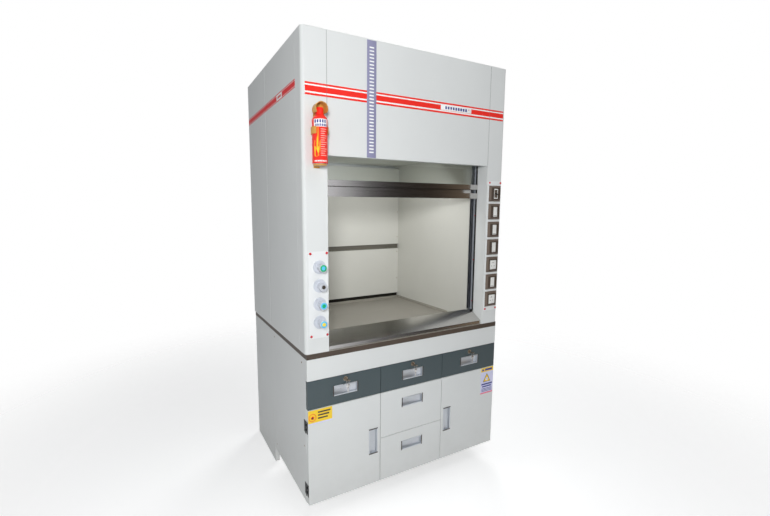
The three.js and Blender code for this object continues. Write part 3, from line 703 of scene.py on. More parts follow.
# %% Give every fixed part its finish
finish_of_slot = {
    "white_paint": white_coat, "slate_paint": slate_coat, "rubber": foot_rubber, "nickel": nickel,
    "worktop_stone": worktop_finish, "stainless": steel_across, "lining": lining_board,
    "diffuser": diffuser, "glass": sash_glass, "cast_iron": iron, "valve_paint": pale_enamel,
    "bronze": switch_finish, "white_insert": white_plastic, "black_plastic": black_plastic,
    "red_paint": red_enamel, "ochre_paint": ochre_enamel,
}
finish_of_node = {
    "sash_track_left": steel_upright, "sash_track_right": steel_upright, "valve_plate": valve_finish,
}
for part in frame["record"]["subparts"]:
    node = nodes[part["node"]]
    chosen = finish_of_node.get(part["node"], finish_of_slot[part["material_slot"]])
    node.data.materials.clear()
    node.data.materials.append(chosen)

# %% [markdown]
# A red stripe crosses the front: a broad bar between two thinner ones, on a white ground. On the
# real object it is cut film, so it is modelled as thin eased sheets that stop at each panel seam.

# %% Stripes on the front
# The inner edge of the left-hand corner post.
POST = mm_box("corner_post_left")[1].x
spans = [(16, POST - 0.4), (POST + 0.7, WIDTH - POST - 0.7), (WIDTH - POST + 0.4, WIDTH - 16)]
bars = [(1954, 1962), (1924, 1948), (1908.5, 1917)]
stripe_foot, stripe_head = bars[-1][0], bars[0][1]
ground, film = [], []
for x0, x1 in spans:
    ground.append(plate("ground", (x0, -0.35, stripe_foot), (x1, 0, stripe_head), 0.1, 1))
    for z0, z1 in bars:
        film.append(plate("film", (x0, -0.7, z0), (x1, -0.3, z1), 0.15, 1))
fit(join("front_stripe_ground", ground), "hood", stripe_white)
fit(join("front_stripe_red", film), "hood", stripe_red)
print("stripe pieces:", len(ground) + len(film))

# %% [markdown]
# A dark grey strip of painted shade stands in each joint beside the header, where the narrow gap falls in
# shadow.
# Behind each gap between the drawers and doors stands a black strip of painted shade, so the gap reads dark
# instead of showing the light inside the cabinet.

# %% Painted shade in the seams
header_low, header_high = mm_box("header_panel")
# Painted shade: a dark strip in each joint beside the header.
seam_shade_strips = [plate("bead", (x - 0.75, -0.8, header_low.z), (x + 0.75, 0.1, header_high.z), 0.3, 1)
         for x in (POST + 0.15, WIDTH - POST - 0.15)]
fit(join("header_seam_shade_strips", seam_shade_strips), "hood", painted_seam_grey)
door_top = mm_box("door_left")[1].z
drawer_top = mm_box("drawer_left")[1].z
gaps = [(mm_box("drawer_left")[1].x + mm_box("drawer_middle")[0].x) / 2,
        (mm_box("drawer_middle")[1].x + mm_box("drawer_right")[0].x) / 2]
# Painted shade: a black strip behind each gap between the drawers and doors.
gap_shade_strips = [plate("gap_shade_strip", (x - 1.1, 2.5, 3), (x + 1.1, 20.6, drawer_top), 0.3, 1) for x in gaps]
fit(join("front_gap_shade_strips", gap_shade_strips), "hood", painted_shade_black)
print("seams filled:", len(seam_shade_strips) + len(gap_shade_strips))

# %% [markdown]
# On each side the same film is pressed flat into the panel, with nothing standing proud, so there it
# is part of the panel's own finish: a mask by height and depth chooses red, pale edge or paint.
# A fold down the panel is drawn the same way, as a dark line of painted shade beside a pale line of painted
# highlight.

# %% Side panel finish with its stripe and its painted fold
def between(tree, value, low, high):
    above = math_node(tree, "GREATER_THAN", value, low)
    below = math_node(tree, "LESS_THAN", value, high)
    return math_node(tree, "MULTIPLY", above, below)


# Higher than the panel, so that a fold runs its whole height.
FOLD_TOP = 3000
STRIPE_RED = (0.74, 0.003, 0.010)
# Each patch is a run from front to back, a run of height and a colour laid over what is there.
# The first two paint the fold: a dark line of painted shade and a pale line of painted highlight.
SIDE_PATCHES = [
    ((536.5, 539.5), (0, FOLD_TOP), (0.38, 0.39, 0.38)), ((539.5, 549), (0, FOLD_TOP), (0.86, 0.88, 0.88)),
    ((68, 914), (1955, 1992), (0.80, 0.74, 0.74)), ((68, 914), (1955, 1959.5), STRIPE_RED),
    ((68, 914), (1962, 1985), STRIPE_RED), ((68, 914), (1987.5, 1992), STRIPE_RED),
    ((257, 341), (1960, 1987), (0.84, 0.84, 0.84)), ((272, 326), (1968, 1979), (0.62, 0.10, 0.10)),
]


def striped_side(name):
    material, tree, shader = new_material(name, Specular_IOR_Level=0.3)
    skin = place_group(tree, peel, Scale=900.0, Spread=0.12)
    axes = object_axes(tree)
    colour = tint(tree, skin.outputs["Mottle"], (0.66, 0.68, 0.68), (0.72, 0.74, 0.735))
    for (y0, y1), (z0, z1), paint in SIDE_PATCHES:
        low, high = at(0, y0, z0), at(0, y1, z1)
        run = between(tree, axes["Y"], low.y, high.y)
        height = between(tree, axes["Z"], low.z, high.z)
        colour = tint(tree, math_node(tree, "MULTIPLY", run, height), colour, paint)
    tree.links.new(colour, shader.inputs["Base Color"])
    tree.links.new(skin.outputs["Roughness"], shader.inputs["Roughness"])
    bump(tree, skin.outputs["Height"], shader, 0.00006, 0.35)
    return material


side_finish = striped_side("striped_side_panel")
for name in ("hood_side_left", "hood_side_right"):
    nodes[name].data.materials.clear()
    nodes[name].data.materials.append(side_finish)
print("patches on each side:", len(SIDE_PATCHES))

# %% [markdown]
# A name plate sits on the stripe and a tall band crosses it. Both are plain here: evenly spaced
# marks stand in for lettering, so the eye reads a printed label without any words on it.

# %% Name plate and upright band
plaque = plate("stripe_plaque", (757, -1.1, 1925), (965, -0.65, 1950), 0.3)
fit(plaque, "hood", stripe_white)
dashes = [plate("dash", (x, -1.35, 1930.5), (x + 11, -1.05, 1944.5), 0.2, 1) for x in range(786, 930, 17)]
fit(join("stripe_plaque_marks", dashes), "hood", paint_navy)
fit(disc("stripe_plaque_dot", (947, 1942), 3.2, -1.35, -1.05, 20, 0.1), "hood", stripe_red)

band = plate("upright_band", (322, -1.1, header_low.z + 2), (372, -0.65, header_high.z - 1.5), 0.3)
fit(band, "hood", band_slate)
rungs = [plate("rung", (335, -1.4, z), (359, -1.05, z + 6), 0.4, 1) for z in range(1684, 2164, 15)]
fit(join("upright_band_rungs", rungs), "hood", stripe_white)
print("rungs on the band:", len(rungs))

# %% [markdown]
# Every drawer and door has a pressed steel cup set into the recess. The cup starts as a box. Its
# front face is inset for the rim and pushed back for the hollow, which is how the real one is drawn
# from sheet in one stroke.

# %% Pull cups
CUP_STEP, CUP_BODY = 0.0044, 0.0133
CUP_RIM, CUP_HOLLOW = 0.0052, 0.0139


def pull_cup(name, cx, cz, wide, tall):
    """A pressed cup: a rim plate, a hollow block behind it, and the hollow pushed in from the front."""
    cup = block(name, (cx - wide / 2, -1.6, cz - tall / 2), (cx + wide / 2, -0.05, cz + tall / 2))
    mesh = shape_mode(cup)
    select_faces(mesh, lambda face: face.normal.y > 0.9)
    bpy.ops.mesh.inset(thickness=CUP_STEP)
    bpy.ops.mesh.extrude_region_move(TRANSFORM_OT_translate={"value": (0, CUP_BODY, 0)})
    bpy.ops.mesh.select_all(action="DESELECT")
    mesh = bmesh.from_edit_mesh(cup.data)
    select_faces(mesh, lambda face: face.normal.y < -0.9)
    bpy.ops.mesh.inset(thickness=CUP_RIM)
    bpy.ops.mesh.extrude_region_move(TRANSFORM_OT_translate={"value": (0, CUP_HOLLOW, 0)})
    done(cup)
    use(cup, "BEVEL", width=0.0003, segments=2, limit_method="ANGLE", angle_limit=math.radians(50))
    return smooth(cup)


def cup_ends(name, cx, cz, wide, tall):
    """Dark caps over the two short ends of the rim."""
    strips = []
    for side in (-1, 1):
        if wide > tall:
            x, z, half_x, half_z = cx + side * (wide / 2 - 2.4), cz, 2.6, tall / 2 + 0.6
        else:
            x, z, half_x, half_z = cx, cz + side * (tall / 2 - 2.4), wide / 2 + 0.6, 2.6
        strips.append(plate("cap", (x - half_x, -2.8, z - half_z), (x + half_x, -1.5, z + half_z), 0.5))
    return join(name, strips)


def fit_cup(front, cx, cz, wide, tall):
    fit(pull_cup(front + "_cup", cx, cz, wide, tall), front, cup_steel)
    fit(cup_ends(front + "_cup_ends", cx, cz, wide, tall), front, dark_trim)


CUP_LONG, CUP_SHORT = 138, 51
LOCKED = ["drawer_left", "drawer_middle", "drawer_right"]
drawer_names = LOCKED + ["drawer_centre_upper", "drawer_centre_lower"]
recess_drops = dict(zip(drawer_names, (70.5, 70.5, 70.5, 79.5, 77.5)))
middles = {}
for name in drawer_names:
    low, high = mm_box(name)
    middles[name] = (low.x + high.x) / 2
    fit_cup(name, middles[name], high.z - recess_drops[name], CUP_LONG, CUP_SHORT)
door_recess = mm_box("door_left")[0].z + 233
for name, cx in (("door_left", gaps[0] - 43), ("door_right", gaps[1] + 43)):
    fit_cup(name, cx, door_recess, CUP_SHORT, CUP_LONG)
print("cups:", len(drawer_names) + 2)

# %% [markdown]
# Each lock has a raised ring round its barrel, and its spare key hangs from the one left in the
# lock. The spare hangs from the drawer's own side, so it stays upright when the key turns.

# %% Lock rings and spare keys
def ring(name, centre, radius, thick, flat=1.0, turn=FRONT_TO_BACK, sides=40):
    fresh()
    bpy.ops.mesh.primitive_torus_add(
        location=at(*centre), rotation=turn, major_segments=sides, minor_segments=12,
        major_radius=radius / 1000, minor_radius=thick / 1000,
    )
    piece = bpy.context.object
    piece.name = name
    piece.scale = (1, 1, flat)
    apply_place(piece)
    return smooth(piece, 60)


for name in LOCKED:
    side = name.split("_")[1]
    key_low, key_high = mm_box("key_" + side)
    mid, lock = (key_low.x + key_high.x) / 2, (key_low.z + key_high.z) / 2
    fit(ring("lock_ring_" + side, (mid, -0.6, lock), 10.4, 1.8, 0.7), name, nickel)
    loop = ring("loop", (mid, -24, lock - 7.5), 8.0, 0.65, sides=32)
    bow = disc("bow", (mid, lock - 26), 9.5, -25.1, -23.1, 24)
    blade = plate("blade", (mid - 3.2, -24.9, lock - 59), (mid + 3.2, -23.3, lock - 32), 0.4)
    teeth = [plate("tooth", (mid + 2.6, -24.8, lock - drop), (mid + reach, -23.4, lock - drop + 4), 0.3)
             for drop, reach in ((56, 5.2), (48, 4.6))]
    fit(join("spare_key_" + side, [loop, bow, blade] + teeth), name, key_steel)
print("locks fitted")

# %% [markdown]
# The doors turn on black butt hinges. Five knuckles share a pin: three belong to the cabinet and two
# to the door, so each set rides with its own part and they pass each other as the door swings.

# %% Hinges
def side_screw(y, z, x=4.5, radius=4.2, depth=1.1):
    return turned("screw", (x, y, z), radius, depth, LEFT_TO_RIGHT, 24, 0.3 * depth)


def hinge(level, number):
    low, high, step = level - 30, level + 30, 12
    fixed = [plate("leaf", (3.7, 22.0, low), (4.95, 46, high), 0.3)]
    swinging = [plate("leaf", (5.0, 3, low), (6.4, 18.8, high), 0.3)]
    for k in range(5):
        z0, z1 = low + k * step + 0.4, low + (k + 1) * step - 0.4
        knuckle = upright("knuckle", 2.0, 21, 1.85, z0, z1)
        if k % 2 == 0:
            fixed.append(knuckle)
            fixed.append(plate("tab", (2.6, 21.2, z0), (4.6, 23, z1), 0.2))
        else:
            swinging.append(knuckle)
            swinging.append(plate("tab", (2.6, 17.6, z0), (6.2, 19.8, z1), 0.2))
    fixed += [side_screw(37, level + dz, 3.5, 2.6, 0.6) for dz in (-20, 20)]
    return join("hinge_leaf_left_%d" % number, fixed), join("hinge_door_left_%d" % number, swinging)


for number, level in ((1, door_top - 88.5), (2, 72)):
    fixed, swinging = hinge(level, number)
    fit_both(fixed, "hinge_leaf_right_%d" % number, black_plastic)
    fit_both(swinging, "hinge_door_right_%d" % number, black_plastic, "door_left", "door_right")
print("hinges fitted")

# %% [markdown]
# A drawer runs on two steel slides. The fixed rail is a channel on the cabinet and the moving rail
# is a flat bar on the drawer, which shows when the drawer is open. A channel is drawn from a block by
# pushing its open face in, until only a thin web and two flanges are left.

# %% Drawer slides
BAY_HALF = 201.667
WEB = 1.6


def channel(name, low, high, open_side):
    piece = block(name, low, high)
    mesh = shape_mode(piece)
    select_faces(mesh, lambda face: face.normal.x * open_side > 0.9)
    bpy.ops.mesh.inset(thickness=WEB / 1000)
    depth = (high[0] - low[0] - WEB) / 1000
    bpy.ops.mesh.extrude_region_move(TRANSFORM_OT_translate={"value": (-open_side * depth, 0, 0)})
    return smooth(done(piece))


for name in drawer_names:
    z0 = mm_box(name)[0].z + 30
    z1 = z0 + 32
    left, right = middles[name] - BAY_HALF, middles[name] + BAY_HALF
    fixed = [channel("rail", (left + 4, 26, z0), (left + 19.8, 520, z1), 1),
             channel("rail", (right - 19.8, 26, z0), (right - 4, 520, z1), -1)]
    moving = [plate("bar", (x, 27, z0 + 6), (x + 1.7, 484, z1 - 6), 0.5)
              for x in (left + 20.2, right - 21.9)]
    fit(join(name + "_rails", fixed), "hood", steel_across)
    fit(join(name + "_bars", moving), name, steel_across)
print("slides fitted:", 2 * len(drawer_names))

# %% [markdown]
# The switch column has white faces set in its bronze plates. Their openings are cut with a Boolean,
# because a real hole catches shadow at its edge in a way that a dark dot can't.

# %% Cutting helper
def cut(piece, tools):
    tool = join("cutting_tool", tools)
    only(piece)
    modifier = piece.modifiers.new("cut", "BOOLEAN")
    modifier.operation = "DIFFERENCE"
    modifier.solver = "EXACT"
    modifier.object = tool
    bpy.ops.object.modifier_apply(modifier=modifier.name)
    bpy.data.objects.remove(tool)
    return smooth(piece, 30)


print("cutting helper ready")

# %% [markdown]
# Five places hold a rocker or a toggle in a narrow white frame, and two hold a socket with five
# pinholes. A thin dark disc of painted shade lies at the bottom of each pinhole, so that it reads as deep.

# %% Switch faces
def middle_of(node):
    low, high = mm_box(node)
    return (low + high) / 2


SWITCH = middle_of("rocker_2").x
PITCH = middle_of("rocker_5").z - middle_of("rocker_4").z
levels = [middle_of("rocker_2").z + (i - 1) * PITCH - 1 for i in range(7)]


FACE = 15
SOCKET = 24
# How far in front of the hood the wall plates, the white inserts and the bezels stand.
WALL_PLATE, INSERT, BEZEL = -11.9, -13.2, -13.9
# Each pinhole's place on the socket and its radius.
PINS = [(0, 12, 3.4), (-10, -7, 2.8), (10, -7, 2.8), (-10, 10, 1.8), (10, 10, 1.8)]


def opening(z, half_x, half_z, ease):
    """The tool that cuts a square opening in a wall plate."""
    return plate("hole", (SWITCH - half_x, -16, z - half_z), (SWITCH + half_x, -8, z + half_z), ease)


def bezel(i, half_x, half_z):
    """A bronze inner frame on a wall plate, chamfered by its wide bevel."""
    z = levels[i]
    rim = plate("bezel", (SWITCH - 33, BEZEL, z - 33), (SWITCH + 33, WALL_PLATE, z + 33), 1.3)
    rim = cut(rim, [opening(z, half_x, half_z, 0.3)])
    rim.name = "switch_bezel_%d" % (i + 1)
    fit(rim, "hood", bronze_plastic)


def rocker_face(i, name, half_x, half_z):
    """A white frame inside the bezel, open where the rocker or the toggle stands."""
    z = levels[i]
    bezel(i, FACE + 0.5, 28)
    low, high = (SWITCH - FACE, INSERT, z - 27.5), (SWITCH + FACE, WALL_PLATE, z + 27.5)
    face = plate("face", low, high, 0.4)
    face = cut(face, [opening(z, half_x, half_z, 0.2)])
    face.name = name
    fit(face, "hood", white_plastic)


def pins(name, z, y0, y1, slack, ease):
    return [disc(name, (SWITCH + dx, z + dz), radius - slack, y0, y1, 20, ease) for dx, dz, radius in PINS]


def socket_face(i):
    z = levels[i]
    bezel(i, SOCKET + 0.5, 26.5)
    low, high = (SWITCH - SOCKET, INSERT, z - 26), (SWITCH + SOCKET, WALL_PLATE, z + 26)
    face = plate("face", low, high, 0.5)
    face = cut(face, pins("pin", z, -16, -12.3, 0, 0.1))
    face.name = "socket_face_%d" % (i + 1)
    fit(face, "hood", white_plastic)
    # Painted shade: a dark disc at the bottom of each pinhole.
    pinhole_shades = pins("pinhole_shade", z, -12.32, -12.02, 0.1, 0.05)
    fit(join("socket_pinhole_shades_%d" % (i + 1), pinhole_shades), "hood", dark_trim)


for i in (1, 3, 4, 5):
    rocker_face(i, "rocker_face_%d" % (i + 1), 12, 23.5)
for i in (0, 2):
    socket_face(i)
rocker_face(6, "toggle_face", 11.5, 22)
print("switch faces fitted:", len(levels))

# %% [markdown]
# Small domed red caps hide the screws at the corners of both service plates, and matching ones sit
# in the sash track. One is modelled and the rest are copies.

# %% Red caps
def dome(name, x, z, radius, y0, y1):
    return disc(name, (x, z), radius, y0, y1, 28, min(radius * 0.45, (y1 - y0) * 0.7))


def corner_caps(name, node):
    low, high = mm_box(node)
    return join(name, [dome("cap", x, z, 5.8, -6.2, -1.9)
                       for x in (low.x + 9, high.x - 8) for z in (low.z + 11, high.z - 9)])


fit(corner_caps("valve_plate_caps", "valve_plate"), "hood", cap_red)
fit(corner_caps("switch_strip_caps", "switch_panel"), "hood", cap_red)
track_caps = [dome("cap", 1092, z, 2.8, 72.6, 73.9) for z in (1386, 1128, 882)]
fit_both(join("track_caps_right", track_caps), "track_caps_left", cap_red)
print("caps in each track:", len(track_caps))

# %% [markdown]
# Colour on a valve knob tells what it supplies. Each knob has a ring and a centre, both shallow
# discs let into its face, and a moulded collar stands round its stem on the plate.

# %% Valve discs
valve_codes = [(cap_blue, cap_yellow), (cap_blue, cap_green), (cap_grey, dark_trim), (cap_green, cap_blue)]
for i, (outer, inner) in enumerate(valve_codes, 1):
    knob = "valve_knob_%d" % i
    spot, face_y = middle_of(knob), mm_box(knob)[0].y
    rim = disc("valve_ring_%d" % i, (spot.x, spot.z), 15.6, face_y - 1.0, face_y + 0.2, 48, 0.5)
    fit(rim, knob, outer)
    centre = disc("valve_centre_%d" % i, (spot.x, spot.z), 8.8, face_y - 1.8, face_y - 0.9, 40, 0.4)
    fit(centre, knob, inner)
    collar = ring("valve_collar_%d" % i, (spot.x, -8.2, spot.z), 26.0, 1.6, 0.6)
    fit(collar, "hood", pale_enamel)
print("valves coded:", len(valve_codes))

# %% [markdown]
# A dark strip of painted shade runs up the side of each sash track, where the gap beside the post falls in
# shadow.
# The two baffle sheets at the back end in folded lips, with the open slot between them, and the lips are
# coloured dark olive as painted shade.

# %% Track shade strips and baffle trim
track_low, track_high = mm_box("sash_track_right")
# Painted shade: a dark strip where the gap between the track and the post falls in shadow.
shade_strip_low = (track_high.x - 5.5, track_low.y - 3.4, track_low.z + 2)
shade_strip_high = (track_high.x, track_low.y - 0.2, track_high.z - 5)
fit_both(plate("track_shade_strip_right", shade_strip_low, shade_strip_high, 0.4), "track_shade_strip_left", painted_shade_black)
lower_low, lower_high = mm_box("baffle_lower")
upper_low = mm_box("baffle_upper")[0]
# The lips take the dark olive as painted shade at the slot's edges.
lips = [plate("lip", (lower_low.x + 1, lower_low.y - 1.4, z0), (lower_high.x - 1, lower_low.y - 0.1, z1), 0.3)
        for z0, z1 in ((lower_high.z - 3, lower_high.z), (upper_low.z, upper_low.z + 3))]
fit(join("baffle_edge_trim", lips), "hood", painted_shade_olive)

print("baffle lips:", len(lips))

# %% [markdown]
# Behind the baffles the plenum is unpainted and unlit, so a dark sheet stands in each slot. A low
# curb runs round the worktop and keeps spills on it.

# %% Plenum shadow and worktop curb
deck = mm_box("worktop")[1].z - 8


def plenum_sheet(name, z0, z1, material):
    low = (lower_low.x + 3, lower_high.y + 3, z0)
    high = (lower_high.x - 3, lower_high.y + 4, z1)
    fit(plate(name, low, high, 0.2, 1), "hood", material)


plenum_sheet("plenum_shadow_middle", lower_high.z - 30, upper_low.z + 30, painted_shade_olive)
plenum_sheet("plenum_shadow_bottom", deck + 0.5, lower_low.z + 30, painted_shade_black)
liner = mm_box("liner_right")[0].x
curb_foot, curb_head, rear = deck + 0.3, deck + 12, lower_low.y
rear_curb = plate("curb", (WIDTH - liner + 1, rear - 12, curb_foot), (liner - 1, rear - 3, curb_head), 1.2)
right_curb = plate("curb", (liner - 9, 300, curb_foot), (liner - 1, rear - 14, curb_head), 1.2)
left_curb = mirror_to(right_curb, "curb")
fit(join("worktop_curb", [rear_curb, right_curb, left_curb]), "hood", curb_olive)
studs = [disc("stud", (x, z), 3.2, rear - 2, rear - 0.1, 20, 0.7)
         for x in (124, 1096) for z in (1690, 1600, 1410, 1222, 1110, 905)]
fit(join("baffle_screws", studs), "hood", nickel)
print("baffle screws:", len(studs))

# %% [markdown]
# The extinguisher's label wraps round its body. Each mark is made flat, divided along its length,
# then rolled round the bottle's axis, the way a printed sleeve is applied.

# %% Wrapping marks round the bottle
bottle_low, bottle_high = mm_box("extinguisher")
BOTTLE_X, BOTTLE_Y = (bottle_low.x + bottle_high.x) / 2, (bottle_low.y + bottle_high.y) / 2
BOTTLE_R = (bottle_high.x - bottle_low.x) / 2 - 0.9
BOTTLE_BASE = bottle_low.z
# Degrees that the middle of the label is turned from the front.
FACING = -24.0


def wrapped(name, s0, s1, z0, z1, lift, depth, pieces):
    """A mark from s0 to s1 millimetres round the body, where 0 is the label's middle."""
    piece = plate(name, (s0, 0, z0), (s1, depth, z1), 0.05, 1)
    shape_mode(piece, "EDGE")
    for k in range(1, pieces):
        bpy.ops.mesh.select_all(action="SELECT")
        cut_x = at(s0 + (s1 - s0) * k / pieces, 0, 0)
        bpy.ops.mesh.bisect(plane_co=cut_x, plane_no=(1, 0, 0))
    done(piece)
    return roll(piece, lift, depth)


def roll(piece, lift, depth):
    for vertex in piece.data.vertices:
        local = (vertex.co - at(0, 0, 0)) * 1000
        angle = local.x / BOTTLE_R + math.radians(FACING)
        radius = BOTTLE_R + lift + depth - local.y
        x, y = BOTTLE_X + radius * math.sin(angle), BOTTLE_Y - radius * math.cos(angle)
        vertex.co = at(x, y, local.z)
    return smooth(piece, 40)


def bottle_mark(s0, s1, rise0, rise1, lift=0.2, depth=0.12, pieces=3):
    return wrapped("mark", s0, s1, BOTTLE_BASE + rise0, BOTTLE_BASE + rise1, lift, depth, pieces)


fit(join("bottle_patch", [bottle_mark(-27, 35, 151, 183, 0.1, 0.12, 12)]), "hood", stripe_white)
words = [bottle_mark(-23 + k * 11, -16 + k * 11, 167, 180) for k in range(5)]
words += [bottle_mark(-19 + k * 9, -13 + k * 9, 153.5, 163) for k in range(6)]
fit(join("bottle_patch_marks", words), "hood", paint_navy)
rows = [bottle_mark(4, 33 - (k % 3) * 5, 140 - k * 9, 142.6 - k * 9, 0.1, 0.12, 6) for k in range(13)]
fit(join("bottle_text_lines", rows), "hood", label_text)
foot_marks = [bottle_mark(-25 + k * 7.4, -19.5 + k * 7.4, 8, 14, 0.1, 0.12, 2) for k in range(8)]
fit(join("bottle_foot_marks", foot_marks), "hood", stripe_white)
print("bottle marks:", len(words) + len(rows) + len(foot_marks) + 1)

# %% [markdown]
# A plain flame decorates the sleeve. A round sheet is pulled into three tongues by a wave in its
# radius, given a thickness and rolled on to the bottle like the other marks.

# %% Flame on the label
def flame(name, middle, base, wide, tall, lift):
    """A three-tongued flame, cut from a round sheet and rolled on to the bottle."""
    fresh()
    bpy.ops.mesh.primitive_circle_add(vertices=72, radius=0.01, fill_type="NGON", rotation=FRONT_TO_BACK)
    piece = bpy.context.object
    piece.name = name
    apply_place(piece)
    for vertex in piece.data.vertices:
        turn = math.atan2(vertex.co.z, vertex.co.x)
        rise = 0.5 + 0.5 * math.sin(turn)
        tongue = 1 + 0.40 * rise * math.cos(5 * (turn - math.pi / 2))
        across = wide * math.cos(turn) * (1 - 0.35 * rise) * tongue + 0.35 * wide * rise ** 3
        up = tall * (0.06 + 0.66 * rise ** 1.7 * tongue)
        vertex.co = at(middle + across, 0, BOTTLE_BASE + base + up)
    shape_mode(piece)
    bpy.ops.mesh.select_all(action="SELECT")
    bpy.ops.mesh.extrude_region_move(TRANSFORM_OT_translate={"value": (0, 0.00012, 0)})
    done(piece)
    return roll(piece, lift, 0.12)


fit(flame("bottle_flame_outer", -13, 22, 17, 142, 0.1), "hood", paint_orange)
fit(flame("bottle_flame_inner", -15, 24, 12, 92, 0.26), "hood", paint_yellow)
print("flames fitted")

# %% [markdown]
# The bottle is drawn from one sheet, with a bright rolled rim at its base and a bead at its neck.

# %% Bottle rims
def level_ring(name, x, y, z, radius, thick):
    return ring(name, (x, y, z), radius, thick, 1.0, (0, 0, 0), 48)


base_rim = level_ring("bottle_base_rim", BOTTLE_X, BOTTLE_Y, BOTTLE_BASE + 1.2, 32.4, 1.5)
fit(base_rim, "hood", key_steel)
neck_rim = level_ring("bottle_neck_rim", BOTTLE_X, BOTTLE_Y, bottle_high.z - 28, 17.6, 1.2)
fit(neck_rim, "hood", red_enamel)
print("bottle finished")

# %% [markdown]
# Two printed labels sit on the doors. They are plain panels here: a ring, a triangle and bars, with
# no words and no warning symbols.

# %% Door labels
def panel(name, low, high, body, material):
    fit(plate(name, (low[0], -0.5, low[1]), (high[0], -0.05, high[1]), 0.15, 1), body, material)


def print_bars(name, spots, body, material):
    bars = [plate("bar", (x0, -0.8, z), (x1, -0.45, z + tall), 0.15, 1) for x0, x1, z, tall in spots]
    fit(join(name, bars), body, material)


LABEL_L, LABEL_TOP = mm_box("door_left")[0].x + 1, door_top - 2
panel("label_left", (LABEL_L, LABEL_TOP - 62), (LABEL_L + 125, LABEL_TOP), "door_left", paint_yellow)
RING_X, RING_Z = LABEL_L + 22, LABEL_TOP - 36
fit(disc("label_left_ring", (RING_X, RING_Z), 20, -0.8, -0.45, 40, 0.1), "door_left", paint_orange)
fit(disc("label_left_middle", (RING_X, RING_Z), 15.5, -1.05, -0.75, 40, 0.1), "door_left", paint_yellow)
fit(disc("label_left_dot", (RING_X, RING_Z - 1), 9.5, -1.3, -1.0, 5, 0.1), "door_left", stripe_red)
fit(disc("label_left_core", (RING_X, RING_Z - 2), 5.5, -1.5, -1.25, 5, 0.1), "door_left", dark_trim)
rows = [(LABEL_L + 50, LABEL_L + 116 - k * 7, LABEL_TOP - 18 - k * 15, 7.5) for k in range(3)]
print_bars("label_left_bars", rows, "door_left", dark_trim)
panel("label_left_foot", (LABEL_L, LABEL_TOP - 70), (LABEL_L + 125, LABEL_TOP - 65), "door_left", paint_lilac)

LABEL_R = mm_box("door_right")[1].x - 1
LABEL_X = LABEL_R - 99
panel("label_right", (LABEL_X, LABEL_TOP - 152), (LABEL_R, LABEL_TOP - 25), "door_right", paint_lilac)
panel("label_right_head", (LABEL_X, LABEL_TOP - 24), (LABEL_R, LABEL_TOP), "door_right", paint_yellow)
panel("label_right_foot", (LABEL_X, LABEL_TOP - 161), (LABEL_R, LABEL_TOP - 153), "door_right", paint_pink)
rows = [(LABEL_X + 6, LABEL_R - 6, LABEL_TOP - 106, 9), (LABEL_X + 12, LABEL_R - 14, LABEL_TOP - 120, 8)]
rows += [(LABEL_X + 8, LABEL_R - 10, LABEL_TOP - 131 - k * 8, 3.5) for k in range(3)]
rows += [(LABEL_X + 30, LABEL_R - 10, LABEL_TOP - 18, 12), (LABEL_X + 8, LABEL_X + 22, LABEL_TOP - 18, 11)]
print_bars("label_right_bars", rows, "door_right", paint_navy)
print("rows on the right label:", len(rows))

# %% [markdown]
# The right label's triangle starts as a three-sided bar. Blender may start it with a corner down, so
# it is turned over if need be, and its corners are then eased.

# %% Triangle on the right label
def triangle(name, x, z, size, y0, y1, material):
    """A three-sided plate that stands on one side, its corners eased."""
    fresh()
    bpy.ops.mesh.primitive_cylinder_add(
        vertices=3, radius=size / 1000, depth=(y1 - y0) / 1000, location=at(x, (y0 + y1) / 2, z),
        rotation=FRONT_TO_BACK,
    )
    piece = bpy.context.object
    piece.name = name
    apply_place(piece)
    heights = [v.co.z for v in piece.data.vertices]
    if sum(h > sum(heights) / 6 for h in heights) > 2:
        piece.data.transform(Matrix.Translation((0, 0, 2 * at(0, 0, z).z)) @ Matrix.Diagonal((1, 1, -1, 1)))
        piece.data.flip_normals()
    use(piece, "BEVEL", width=0.0008, segments=2, limit_method="ANGLE", angle_limit=math.radians(100))
    fit(piece, "door_right", material)


MARK_X, MARK_Z = LABEL_X + 47, LABEL_TOP - 70
triangle("label_right_triangle", MARK_X, MARK_Z, 35, -0.85, -0.45, dark_trim)
triangle("label_right_inner", MARK_X, MARK_Z, 29, -1.15, -0.8, paint_yellow)
dot = disc("label_right_dot", (MARK_X, MARK_Z - 1), 10, -1.4, -1.1, 24, 0.1)
fit(dot, "door_right", paint_lilac)
print("labels fitted")

# %% [markdown]
# The sides, roof and back carry the screws that hold the panels, and the spigot has a rolled bead
# that a duct sleeve grips.

# %% Side screws
screws = [side_screw(y, z) for y, z in ((66, 700), (46, 287), (500, 700), (500, 40))]
fit_both(join("base_side_screws_left", screws), "base_side_screws_right", nickel)
print("screws on each side:", len(screws))

# %% [markdown]
# Three columns of screws hold the back panel. The roof has two rows, and its spigot is welded on at
# the foot and beaded near the mouth.

# %% Back panel and roof
SCREW = 4.2
SPIGOT_X, SPIGOT_Y = 610, 620
BACK = mm_box("hood_back")[1].y
back_screws = [disc("screw", (x, z), SCREW, BACK - 0.9, BACK - 0.05, 20, 0.25)
               for z in (800, 1100, 1400, 1700, 2000, 2160) for x in (20, 610, 1200)]
fit(join("back_panel_screws", back_screws), "hood", nickel)

